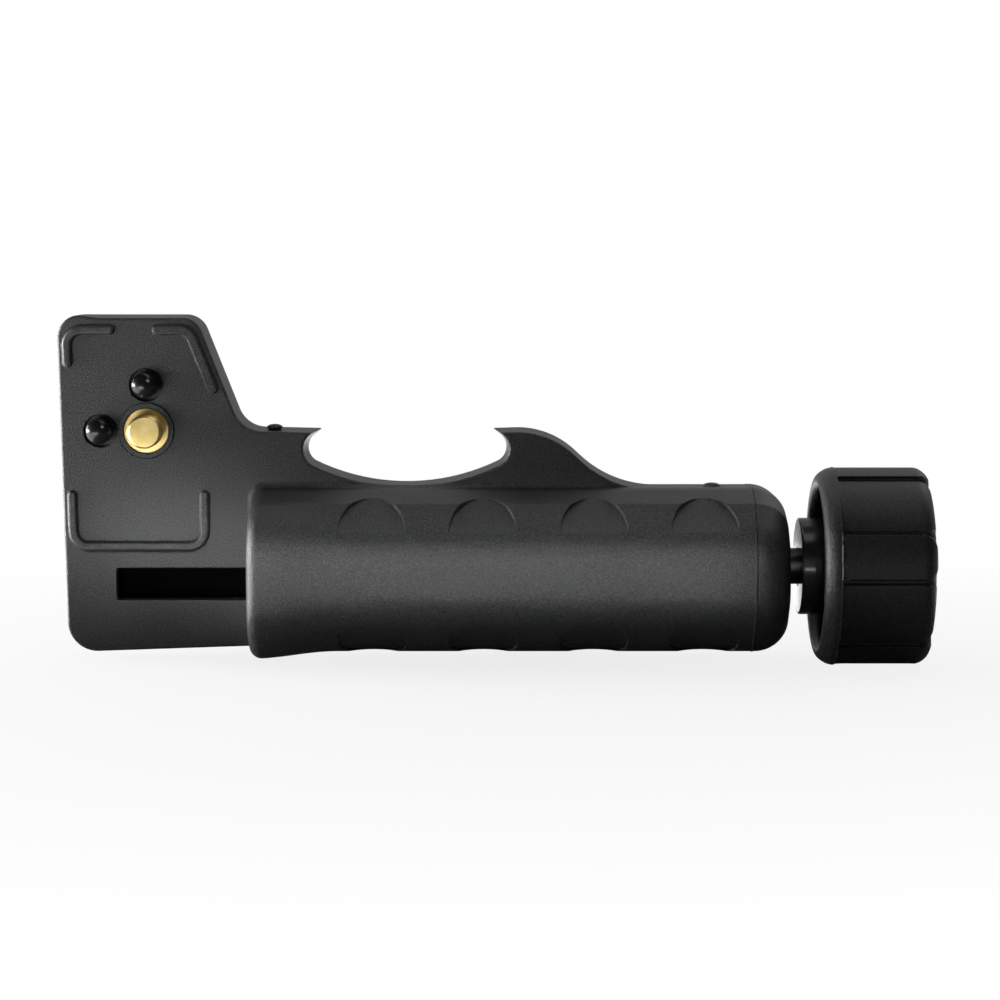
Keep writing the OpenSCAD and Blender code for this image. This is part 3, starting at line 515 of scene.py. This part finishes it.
# Finger recesses: flat half moons in the upper facet, and scallops that fade out up the lower facet. A
# place and a direction in Y and Z give each plane, or the way along a facet.
RECESS_X = [43.2 + 20.7 * k for k in range(4)]
RECESS_R, RECESS_Z, RECESS_TAPER = 6.4, -18.1, 0.7
RECESS_FLOOR = ((-5.76, -12.28), (-0.611, 0.792))
UPPER_FACET = ((-8.3, -13.2), (-0.681, 0.732))
UP_LOWER_FACET = ((-8.3, HANDLE_LOW), (-0.683, 0.73))
SCALLOP_DEPTH, SCALLOP_MIDDLE = 0.6, 3.2
SCALLOP_FADE = (1.5, 8.0)

# Small oval nibs on the top edges: place, and half sizes
NIBS = [((24.1, 3.5, 0.5), (1.5, 1.3, 0.6)), ((107.5, 3.2, -10.75), (1.7, 1.4, 0.65))]


def plate(x, y, z):
    """Plate and hooks, with the mould's draft, which fades out to the left and lower edges."""
    draft = PLATE_DRAFT * (PLATE_BACK - y) * ease((x + 14) / 6) * ease((z + 38) / 6)
    return meet(meet(SLAB(x, z) + draft, -y, PLATE_EDGE), y - PLATE_BACK, BACK_EDGE)


def handle_side(x, y, z):
    """The handle's section, flared at its left end."""
    side = HANDLE(y, z)
    if near(x, GRIP_LEFT, FLARE_END):
        t = ease((x - FLARE_START) / (FLARE_END - FLARE_START))
        side = FLARED(y, z) * (1 - t) + side * t
    return side


def with_grip(body, x, y, z, side):
    """Adds the handle, with a fillet that fades out to the right hook's end and the back."""
    ridge = bead(x - SEAM + 0.25, 0.13, 0.16)
    grip = meet(meet(side - ridge, GRIP_LEFT - x, GRIP_EDGE), x - SEAM, SEAM_EDGE)
    fillet = GRIP_FILLET * (1 - ease((x - 82) / 8)) * (1 - ease((y - 3) / 4))
    return join(body, grip, fillet)


def with_ribs(body, x, y, z):
    for rib, edge in RIBS:
        bar = meet(meet(rib(x, z) - RIB_HALF, -RIB_H - y, edge), y - 1, 0)
        body = join(body, bar, 0.3)
    return body


def with_hollows(body, x, y, z):
    """Hollows out the handle, and the plate and the right hook from behind."""
    if near(x, HOLLOW_LEFT, SEAM):
        body = cut(body, np.maximum(DEEP(y, z) + WALL, HOLLOW_LEFT - x), 0.1)
    if near(x, -16, 24) or near(x, 69, 86):
        pockets = np.minimum(np.minimum(TRAY(x, z), POCKET(x, z)), HOOK(x, z)) + WALL
        body = cut(body, meet(pockets, WALL - y, 0.8), 0.3)
    return body


def with_bores(body, x, y, z):
    """Adds the bosses, and cuts the bores, the tail bush's seat and the slot."""
    for at, y0, y1, r, edge in BOSSES:
        if near(x, at[0] - r, at[0] + r):
            body = join(body, rod_y(x, y, z, at, y0, y1, r, edge), BOSS_FILLET)
    if near(x, -6, 31):
        body = join(body, rod_x(x, y, z, *TAIL_BOSS_X, TAIL_BOSS_R), BOSS_FILLET)
        body = cut(body, brick(x, y, z, *SLOT, 0.5), 0.12)
        body = cut(body, rod_x(x, y, z, TAIL_SEAT_X, 40, TAIL_BUSH_R + FIT), 0.1)
    for at, y0, y1, r, edge in BORES:
        if near(x, at[0] - r, at[0] + r):
            body = cut(body, rod_y(x, y, z, at, y0, y1, r), edge)
    return body


def past(y, z, plane):
    """How far a place lies past a plane's point, in the plane's direction."""
    (at_y, at_z), (way_y, way_z) = plane
    return (y - at_y) * way_y + (z - at_z) * way_z


def with_recesses(body, x, y, z, side):
    for middle in RECESS_X:
        if near(x, middle - RECESS_R, middle + RECESS_R):
            moon = np.hypot(x - middle, z - RECESS_Z) - RECESS_R - RECESS_TAPER * past(y, z, UPPER_FACET)
            body = cut(body, np.maximum(moon, -past(y, z, RECESS_FLOOR)), SEAM_EDGE)
            climb = past(y, z, UP_LOWER_FACET)
            start, end = SCALLOP_FADE
            depth = SCALLOP_DEPTH * (1 - ease((climb - start) / (end - start)))
            scallop = np.hypot(x - middle, climb - SCALLOP_MIDDLE) - RECESS_R
            body = cut(body, np.maximum(scallop, -(side + depth)), SEAM_EDGE)
    return body


def with_nibs(body, x, y, z):
    for at, size in NIBS:
        if near(x, at[0] - size[0], at[0] + size[0]):
            far = np.sqrt(sum(((p - a) / s) ** 2 for p, a, s in zip((x, y, z), at, size)))
            body = join(body, (far - 1) * min(size), 0.1)
    return body


def front_shell(x, y, z):
    body = plate(x, y, z)
    has_grip = near(x, GRIP_LEFT, SEAM)
    if has_grip:
        side = handle_side(x, y, z)
        body = with_grip(body, x, y, z, side)
    if near(x, -16, 14):
        body = with_ribs(body, x, y, z)
    body = with_hollows(body, x, y, z)
    body = with_bores(body, x, y, z)
    if has_grip:
        body = with_recesses(body, x, y, z, side)
    return with_nibs(body, x, y, z)


# End of the handle

CAP_ROUND = 6.5
CAP_WALL, CAP_FLOOR = 4.6, 117.95
SEAT_END = 115.35
SPIGOT_X, SPIGOT_HALF, SPIGOT_BACK = (108.5, 116), 1.0, 7.9
BUSH_BOSS_X, BUSH_BOSS_R = (114.3, 119), 7.5
CLIP_SEAT_X, CLIP_SEAT_R = 119.8, 5.7


def end_shell(x, y, z):
    """Rounded cap with a spigot in the handle, a seat for the cover, screw bosses and the bush's bore."""
    body = meet(meet(CAP(y, z), x - CAP_END, CAP_ROUND), SEAM - x, SEAM_EDGE)
    inner = DEEP(y, z)
    body = cut(body, np.maximum(inner + CAP_WALL, x - CAP_FLOOR), 0.2)
    seat = np.maximum(np.maximum(PLATE_BACK - FIT - y, x - SEAT_END), COVER(x, z) + COVER_INSET - FIT)
    body = cut(body, seat, 0)
    ring = np.maximum(np.abs(inner + WALL + FIT + SPIGOT_HALF) - SPIGOT_HALF, y - SPIGOT_BACK)
    body = np.minimum(body, np.maximum(ring, between(x, *SPIGOT_X)))
    for at in CAP_SCREWS:
        boss = rod_y(x, y, z, at, 0, PLATE_BACK - FIT, SCREW_BOSS_R)
        body = np.minimum(body, np.maximum(boss, inner + WALL + FIT))
    body = join(body, rod_x(x, y, z, *BUSH_BOSS_X, BUSH_BOSS_R), 0.2)
    body = cut(body, rod_x(x, y, z, 100, 130, END_BUSH_R + FIT), 0.1)
    body = cut(body, rod_x(x, y, z, CLIP_SEAT_X, 130, CLIP_SEAT_R), 0.3)
    for at in CAP_SCREWS:
        body = cut(body, rod_y(x, y, z, at, -1, BEYOND, SCREW_R + FIT), 0)
    return body


# Rear cover and jaws

JAW_WALL = 4.0
GUSSET_REACH, GUSSET_TOP, GUSSET_T = 14.0, 32.0, 2.5
GUSSET_LOW = (-38.1, -15.0)
FIXED_WALL_X, MOVING_WALL_X = 22.5, 75.5
FOOT_LEN, FOOT_FLOOR, FOOT_TOP = 18.0, 12.2, 15.7
CARRIAGE_X, CARRIAGE_R = (76.5, 92.5), 7
NECK = [(CARRIAGE_X[0], -4.5, -30.3), (CARRIAGE_X[1], 13.5, -20.3)]
LEAD_CLEAR_R = 4.2
NUT_LEFT, NUT_R = 84.5, 5.5
BAR_Y, BAR_Z, BAR_END = 1.45, -29.25, 83.5
BAR_HALF_T, BAR_HALF_W = 0.95, 2.75

# Lowest and highest corners of openings, and of the near-black lining in the guide bar's pocket, which is
# painted shade that keeps the slot dark
BAR_POCKET = [(-8, 6, -34.5), (22, 11, -24)]
NECK_SLOT = [(36.3, 0, -30.5), (107.7, 20, -20.1)]
PAINTED_SHADE_BOX = [(-7.9, 3.4, -34.4), (21.9, 10.9, -24.1)]
PAINTED_SHADE_INSIDE = [(-7.1, 0, -33.6), (21.1, 10.1, -24.9)]


def jaw(x, y, z, face, way, y0):
    """Jaw wall and its two gussets, with the pad's side at x = face and the gussets on the side of way."""
    back = face + way * JAW_WALL
    root = y0 - 2
    wall = brick(x, y, z, (min(face, back), root, JAW_LOW), (max(face, back), JAW_TIP, JAW_TOP), 0.9)
    end = back + way * GUSSET_REACH
    corners = [(back - way, root), (end, root), (end, y0), (back, GUSSET_TOP), (back - way, GUSSET_TOP)]
    brace = outline(np.array(corners)[::int(way)], x, y)
    for low in GUSSET_LOW:
        gusset = meet(brace, np.abs(z - low - GUSSET_T / 2) - GUSSET_T / 2, 0.5)
        wall = join(wall, gusset, 0.7)
    return wall


def cover_shell(x, y, z):
    """Cover with the fixed jaw, the moving jaw's slot and eight screw holes."""
    body = meet(meet(COVER(x, z) + COVER_INSET, y - COVER_BACK, 0.8), PLATE_BACK - y, 0.2)
    if near(x, -9, 23):
        body = join(body, np.maximum(jaw(x, y, z, FIXED_WALL_X, -1, COVER_BACK), 11 - y), 1.0)
        body = cut(body, brick(x, y, z, *BAR_POCKET, 0.6), 0.2)
    if near(x, 36, 108):
        body = cut(body, brick(x, y, z, *NECK_SLOT, 0.8), 0.4)
    for at in FRONT_SCREWS + CAP_SCREWS:
        if near(x, at[0] - SCREW_HEAD_R, at[0] + SCREW_HEAD_R):
            body = cut(body, rod_y(x, y, z, at, 0, 20, SCREW_R + FIT), 0)
            body = cut(body, rod_y(x, y, z, at, SCREW_HEAD_Y - FIT, 20, SCREW_HEAD_R + FIT), 0.2)
    return body


def painted_shade_shell(x, y, z):
    """Near-black matt trough behind the plate's slot, in the cover's pocket: painted shade that keeps the
    slot dark.
    """
    trough = brick(x, y, z, *PAINTED_SHADE_BOX, 0.5)
    return cut(trough, brick(x, y, z, *PAINTED_SHADE_INSIDE, 0.3), 0.15)


def jaw_shell(x, y, z):
    """Moving jaw on its foot, with the neck, the nut's carriage, and the guide bar's slot through it."""
    foot_low = (MOVING_WALL_X, FOOT_FLOOR, JAW_LOW)
    foot = brick(x, y, z, foot_low, (MOVING_WALL_X + FOOT_LEN, FOOT_TOP, JAW_TOP), 0.7)
    body = join(np.maximum(jaw(x, y, z, MOVING_WALL_X, 1, FOOT_FLOOR), 12.3 - y), foot, 0.8)
    body = join(body, brick(x, y, z, *NECK, 0.4), 0.15)
    body = join(body, rod_x(x, y, z, *CARRIAGE_X, CARRIAGE_R, 0.4), 0.3)
    body = cut(body, rod_x(x, y, z, 70, 100, LEAD_CLEAR_R), 0.2)
    body = cut(body, rod_x(x, y, z, NUT_LEFT, 100, NUT_R + FIT), 0.2)
    slot = np.maximum(np.abs(y - BAR_Y) - BAR_HALF_T - FIT, np.abs(z - BAR_Z) - BAR_HALF_W - FIT)
    return cut(body, np.maximum(slot, x - BAR_END - FIT), 0)


# Knob

KNOB_LEFT, KNOB_END = 126.5, 147.2
KNOB_R, LOBE_R = 18.05, 18.6
FIFTH = math.radians(72)
LOBE_ANGLE, LOBE_HALF = math.radians(11), math.radians(14.25)
PARTING = 129.7
GROOVE_AT, GROOVE_R = 18.1, 0.55
SLEEVE_R, MOUTH_R = 15.6, 14.8
DISC_LEFT = 142.2
RING_R, RING_HALF, RING_X = 15.0, 0.57, (129.72, 146)
HUB_R, HUB_LEFT, HUB_END = 9.1, 123.25, 143
SPOKE_R, SPOKE_REACH, SPOKE_HALF, SPOKE_X = 12, 3, 0.8, (130, HUB_END)

# Bores for the screw's shoulder, the screw, its nut and the cap: start, end, radius, rounding of the edge
HUB_BORES = [(120, 126, 3.43, 0.25), (120, 150, 3.3, 0.2), (139.8, 150, 5.22, 0.2), (145.6, 150, 11.0, 0.2)]


def polar(y, z):
    """Distance from the clamp screw's axis, and the angle above the side that faces the viewer."""
    return np.hypot(y - AXIS[1], z - AXIS[2]), np.arctan2(z - AXIS[2], AXIS[1] - y)


def from_fifth(angle, first):
    """Angle to the nearest of five even directions."""
    return np.abs((angle - first + FIFTH / 2) % FIFTH - FIFTH / 2)


def grip_shell(x, y, z):
    """Sleeve with five lobes, each between two grooves, a parting line and a hollow back."""
    r, angle = polar(y, z)
    off = (from_fifth(angle, LOBE_ANGLE) - LOBE_HALF) * np.maximum(r, 1)
    side = join(r - KNOB_R, meet(r - LOBE_R, np.minimum(off, x - PARTING), 0.2), 0.05)
    side = cut(side, np.maximum(np.hypot(r - GROOVE_AT, off) - GROOVE_R, PARTING - x), 0.08)
    side = side - bead(x - PARTING, 0.12, 0.17)
    body = meet(meet(side, KNOB_LEFT - x, 3.2), x - KNOB_END, 2.6)
    body = cut(body, np.maximum(r - SLEEVE_R, PARTING - FIT - x), 0.1)
    return cut(body, r - MOUTH_R, 1.5)


def core_shell(x, y, z):
    """End disc, ring and hub of the knob, with five spokes, and the bores for the screw, nut and cap."""
    r, angle = polar(y, z)
    body = meet(meet(r - SLEEVE_R + FIT, DISC_LEFT - x, 0.4), x - KNOB_END, 0.6)
    body = join(body, np.maximum(np.abs(r - RING_R) - RING_HALF, between(x, *RING_X)), 0.5)
    hub = meet(meet(r - HUB_R, HUB_LEFT - x, 0.35), x - HUB_END, 0)
    body = join(body, hub, 0.8)
    across = from_fifth(angle, math.pi / 2) * r - SPOKE_HALF
    spokes = np.maximum(np.maximum(across, np.abs(r - SPOKE_R) - SPOKE_REACH), between(x, *SPOKE_X))
    body = join(body, spokes, 0.4)
    for start, end, radius, edge in HUB_BORES:
        body = cut(body, rod_x(x, y, z, start, end, radius), edge)
    return body


# Screws, thumb wheel and pins

WHEEL_R, WHEEL_Y = 9.0, (8.2, 17.4)
COLLAR_R, COLLAR_Y = 6.7, (5.95, 16.9)
DISH_R, DISH_Y = 6.0, 16.6
FLUTES, FLUTE_R, FLUTE_AT = 20, 0.95, 9.05
TAIL_R, TAIL_END = 3.0, 15.4
LEAD_R, LEAD_PITCH, LEAD_DEPTH, LEAD_THREAD = 3.98, 2.0, 0.95, (30.3, 112.2)
LEAD_STARTS = 2
LEAD_RUNS = [(23.8, 30.4, 2.5), (112.1, 120.0, 3.4), (119.8, 120.9, 2.8), (120.7, 126.2, 3.4),
             (125.8, 138.7, 3.1), (138.5, 144.6, 2.5)]
BRASS_R, BRASS_TIP, BRASS_PITCH, BRASS_DEPTH = 3.17, -4.4, 1.27, 0.35
TIP_CHAMFER = 0.27
BRASS_RUNS = [(0, 2.2, 4.4), (2.1, 6.1, 3.25), (5.9, TAIL_END, TAIL_R)]
DOME_R, DOME_Y, PIN_R, PIN_ROOT = 3.0, -1.2, 2.45, 1.35
STEM_Y = (0, 4.55)


def wheel_shell(x, y, z):
    """Fluted thumb wheel with a collar towards the plate and a dished end."""
    body = rod_y(x, y, z, RECEIVER_AT, *COLLAR_Y, COLLAR_R, 0.3)
    body = join(body, rod_y(x, y, z, RECEIVER_AT, *WHEEL_Y, WHEEL_R, 0.8), 0.3)
    for k in range(FLUTES):
        a = 2 * math.pi * k / FLUTES
        flute = np.hypot(x - FLUTE_AT * math.cos(a), z - FLUTE_AT * math.sin(a)) - FLUTE_R
        body = cut(body, flute, 0.25)
    body = cut(body, rod_y(x, y, z, RECEIVER_AT, DISH_Y, 20, DISH_R, 0.3), 0.3)
    return cut(body, rod_y(x, y, z, RECEIVER_AT, 0, TAIL_END + FIT, TAIL_R + FIT), 0.1)


def stepped(t, r, runs, edge):
    """A shaft of (start, end, radius) runs along t."""
    body = FAR
    for start, end, radius in runs:
        body = np.minimum(body, meet(r - radius, between(t, start, end), edge))
    return body


def groove(turns, depth):
    """Depth of a trapezoidal thread's groove, from the number of turns."""
    return depth * np.clip((np.abs(turns % 1 - 0.5) - 0.17) / 0.16, 0, 1)


def lead_shell(x, y, z):
    """Clamp screw: plain runs, and a left-handed thread of two starts between them."""
    r, angle = polar(y, z)
    worm = r - LEAD_R + groove(x / LEAD_PITCH - LEAD_STARTS * angle / (2 * math.pi), LEAD_DEPTH)
    return np.minimum(stepped(x, r, LEAD_RUNS, 0.2), meet(worm, between(x, *LEAD_THREAD), 0.3))


def brass_shell(x, y, z):
    """Receiver screw: a threaded, chamfered tip on a collar, and a plain tail."""
    r = np.hypot(x, z)
    worm = r - BRASS_R + groove(y / BRASS_PITCH + np.arctan2(z, x) / (2 * math.pi), BRASS_DEPTH)
    chamfer = (r - BRASS_R - (y - BRASS_TIP) + TIP_CHAMFER) / math.sqrt(2)
    tip = np.maximum(BRASS_TIP - y, chamfer)
    return np.minimum(stepped(y, r, BRASS_RUNS, 0.3), meet(meet(worm, tip, 0.2), y - 0.2, 0))


def pins_shell(x, y, z):
    """Two domed pins on their stems."""
    body = FAR
    for px, pz in PINS:
        r = np.hypot(x - px, z - pz)
        dome = meet(np.sqrt(r * r + (y - DOME_Y) ** 2) - DOME_R, r - PIN_R, 0.3)
        body = np.minimum(body, np.maximum(dome, y - PIN_ROOT))
        body = np.minimum(body, np.maximum(r - STEM_R, between(y, *STEM_Y)))
    return body


stand_for("front_housing", "front_shell", front_shell, "bracket", plastic, 0.22)
stand_for("end_cap", "end_shell", end_shell, "bracket", plastic, 0.22)
stand_for("rear_cover", "cover_shell", cover_shell, "bracket", plastic)
# Near-black lining behind the plate's slot: painted shade in the slot's depth
moulded("slot_painted_shade", painted_shade_shell, "bracket", shade_lining)
stand_for("moving_jaw", "jaw_shell", jaw_shell, "jaw", plastic)
stand_for("knob_grip", "grip_shell", grip_shell, "clamp_screw", rubber, 0.2)
stand_for("knob_core", "core_shell", core_shell, "clamp_screw", hub_plastic)
stand_for("fixing_wheel", "wheel_shell", wheel_shell, "receiver_screw", rubber, 0.2)
stand_for("lead_screw", "lead_shell", lead_shell, "clamp_screw", black_steel, 0.2)
stand_for("fixing_screw", "brass_shell", brass_shell, "receiver_screw", brass, 0.1, 0.006)
stand_for("locating_pins", "pins_shell", pins_shell, "bracket", pin_gloss, 0.12, 0.004)


# CAD nodes that stay as they are: a finish each, and broken edges that catch the light

FINISH = {
    "end_bush": bronze, "tail_bush": bronze, "screw_guide": plastic, "cover_screws": black_steel,
    "fixed_jaw_pad": pad_rubber, "moving_jaw_pad": pad_rubber, "fixing_washer": bright_steel,
    "thrust_washer": bright_steel, "retaining_clip": bright_steel, "knob_nut": bright_steel,
    "knob_cap": plastic, "jaw_nut": brass, "guide_bar": bright_steel, "bar_rivet": bright_steel}
BEVEL = {"screw_guide": 0.25, "cover_screws": 0.15, "fixed_jaw_pad": 0.2, "moving_jaw_pad": 0.2,
         "knob_cap": 0.2, "guide_bar": 0.15, "fixing_washer": 0.1, "retaining_clip": 0.1}
BEVEL_ANGLE = math.radians(40)

for name, finish in FINISH.items():
    nodes[name].data.materials.clear()
    nodes[name].data.materials.append(finish)
for name, width in BEVEL.items():
    edge = nodes[name].modifiers.new("broken_edge", "BEVEL")
    edge.width = width * MM
    edge.segments = 2
    edge.limit_method = "ANGLE"
    edge.angle_limit = BEVEL_ANGLE


# Stage, in metres: pale floor, white backdrop, soft lights and the photo's camera

FLOOR_Z = cad_box[0][2] - 0.0003
FLOOR_REACH = 6.0
SHADE_CENTRE = (0.065, 0.0, 0.0)
SHADE_SPAN = (0.05, 0.22)
WHITE = (1, 1, 1, 1)


def pale(name):
    """A pale floor that turns into the white backdrop away from the object and keeps the shadow near it."""
    made = bpy.data.materials.new(name)
    made.use_nodes = True
    tree = made.node_tree
    tree.nodes.clear()
    where = add(tree, "ShaderNodeTexCoord").outputs["Object"]
    far = distance(tree, where, SHADE_CENTRE)
    path = add(tree, "ShaderNodeLightPath").outputs
    shown = spread(tree, far, 0.82, 1.0, SHADE_SPAN)
    depth = add(tree, "ShaderNodeSeparateXYZ", {0: where}).outputs["Y"]
    mirrored = spread(tree, depth, 0.0, 0.5, (0.03, 0.2))
    camera = maths(tree, "MULTIPLY", path["Is Camera Ray"], shown)
    glossy = maths(tree, "MULTIPLY", path["Is Glossy Ray"], mirrored)
    white = maths(tree, "ADD", camera, glossy)
    tone = add(tree, "ShaderNodeMix", {0: path["Is Camera Ray"]}, data_type="RGBA", A=(0.3, 0.3, 0.3, 1),
               B=(0.9, 0.9, 0.9, 1))
    lit = add(tree, "ShaderNodeBsdfDiffuse", {"Color": tone.outputs[2]})
    plain = add(tree, "ShaderNodeEmission", Color=WHITE, Strength=1.0)
    mixed = add(tree, "ShaderNodeMixShader", {0: white, 1: lit.outputs[0], 2: plain.outputs[0]})
    add(tree, "ShaderNodeOutputMaterial", {"Surface": mixed.outputs[0]})
    return made


def lay_floor():
    mesh = bpy.data.meshes.new("floor")
    corners = [(u * FLOOR_REACH, v * FLOOR_REACH, FLOOR_Z) for u, v in ((-1, -1), (1, -1), (1, 1), (-1, 1))]
    mesh.from_pydata(corners, [], [(0, 1, 2, 3)])
    mesh.materials.append(pale("pale_floor"))
    floor = bpy.data.objects.new("floor", mesh)
    bpy.context.scene.collection.objects.link(floor)


def hang_backdrop():
    """A world that is seen as white, and lights the object faintly, mostly from behind."""
    world = bpy.data.worlds.new("studio")
    bpy.context.scene.world = world
    world.use_nodes = True
    sky = world.node_tree
    sky.nodes.clear()
    path = add(sky, "ShaderNodeLightPath").outputs
    seen = maths(sky, "MAXIMUM", path["Is Camera Ray"], path["Is Transmission Ray"])
    where = add(sky, "ShaderNodeTexCoord").outputs["Generated"]
    depth = add(sky, "ShaderNodeSeparateXYZ", {0: where}).outputs["Y"]
    behind = spread(sky, depth, 0.0, 0.38, (0.0, 0.6))
    before = spread(sky, depth, 0.05, 0.0, (-0.6, 0.0))
    around = maths(sky, "ADD", behind, before)
    strength = add(sky, "ShaderNodeMix", {0: seen, 2: around}, data_type="FLOAT", B=1.0)
    back = add(sky, "ShaderNodeBackground", {"Strength": strength.outputs[0]}, Color=WHITE)
    add(sky, "ShaderNodeOutputWorld", {"Surface": back.outputs[0]})


def looking(at, aim):
    """Rotation of a light or camera that looks from a place at another."""
    return (Vector(aim) - Vector(at)).to_track_quat("-Z", "Y").to_euler()


def softbox(name, at, aim, size, watts, grid=180):
    """A soft light; a grid, in degrees, keeps its light on a patch as wide as the light itself."""
    data = bpy.data.lights.new(name, "AREA")
    data.shape = "RECTANGLE"
    data.size, data.size_y = size
    data.energy = watts
    data.spread = math.radians(grid)
    made = bpy.data.objects.new(name, data)
    bpy.context.scene.collection.objects.link(made)
    made.location = at
    made.rotation_euler = looking(at, aim)
    made.visible_camera = False


# Lights around the object: place, size and watts
MIDDLE = (0.06, -0.01, -0.015)
SOFTBOXES = {
    "left_low": ((-0.60, 0.0, 0.0), (0.35, 0.08), 7.0),
    "left_back": ((-0.55, 0.20, 0.10), (0.30, 0.28), 3.8),
    "overhead": ((0.07, 0.0, 0.50), (0.60, 0.15), 0.36),
    "right_back": ((0.35, 0.25, 0.35), (0.30, 0.30), 0.25)}

# Lights that lie on the floor and shine up: place in X and Y, size and watts
SHEET_Z = FLOOR_Z + 0.001
SHEETS = {
    "sheet": ((-0.09, -0.165), (0.14, 0.07), 0.33),
    "left_sheet": ((-0.13, -0.02), (0.18, 0.22), 0.38),
    "back_sheet": ((0.06, 0.13), (0.40, 0.14), 0.4),
    "right_sheet": ((0.32, 0.10), (0.26, 0.24), 0.2)}

# Narrow lights in front, for the highlights: place, aim, size, watts and grid
STRIPS = {
    "window": ((0.25, -0.42, 0.32), (-0.003, 0.0, 0.004), (0.14, 0.14), 0.0065, 14),
    "strip_handle": ((0.066, -0.30, -0.027), (0.066, 0.0, -0.027), (0.10, 0.010), 0.0021, 6),
    "strip_upper": ((0.066, -0.30, 0.065), (0.066, -0.016, -0.022), (0.10, 0.010), 0.0021, 6),
    "strip_plate": ((0.003, -0.30, -0.020), (0.003, 0.0, -0.020), (0.03, 0.014), 0.0011, 6),
    "strip_knob": ((0.172, -0.30, -0.034), (0.139, -0.023, -0.022), (0.03, 0.03), 0.00014, 6)}

CAMERA_AT = (0.06707, -0.51802, 0.03212)
CAMERA_AIM = (0.06707, 0.0, -0.0132)
LENS, SENSOR = 98.5, 36

lay_floor()
hang_backdrop()
for name, (at, size, watts) in SOFTBOXES.items():
    softbox(name, at, MIDDLE, size, watts)
for name, (at, size, watts) in SHEETS.items():
    softbox(name, (*at, SHEET_Z), (*at, 1.0), size, watts)
for name, strip in STRIPS.items():
    softbox(name, *strip)

camera_data = bpy.data.cameras.new("photo_camera")
camera_data.sensor_width = SENSOR
camera_data.lens = LENS
camera = bpy.data.objects.new("photo_camera", camera_data)
bpy.context.scene.collection.objects.link(camera)
camera.location = CAMERA_AT
camera.rotation_euler = looking(CAMERA_AT, CAMERA_AIM)
bpy.context.scene.camera = camera
bpy.context.scene.view_settings.view_transform = "Standard"
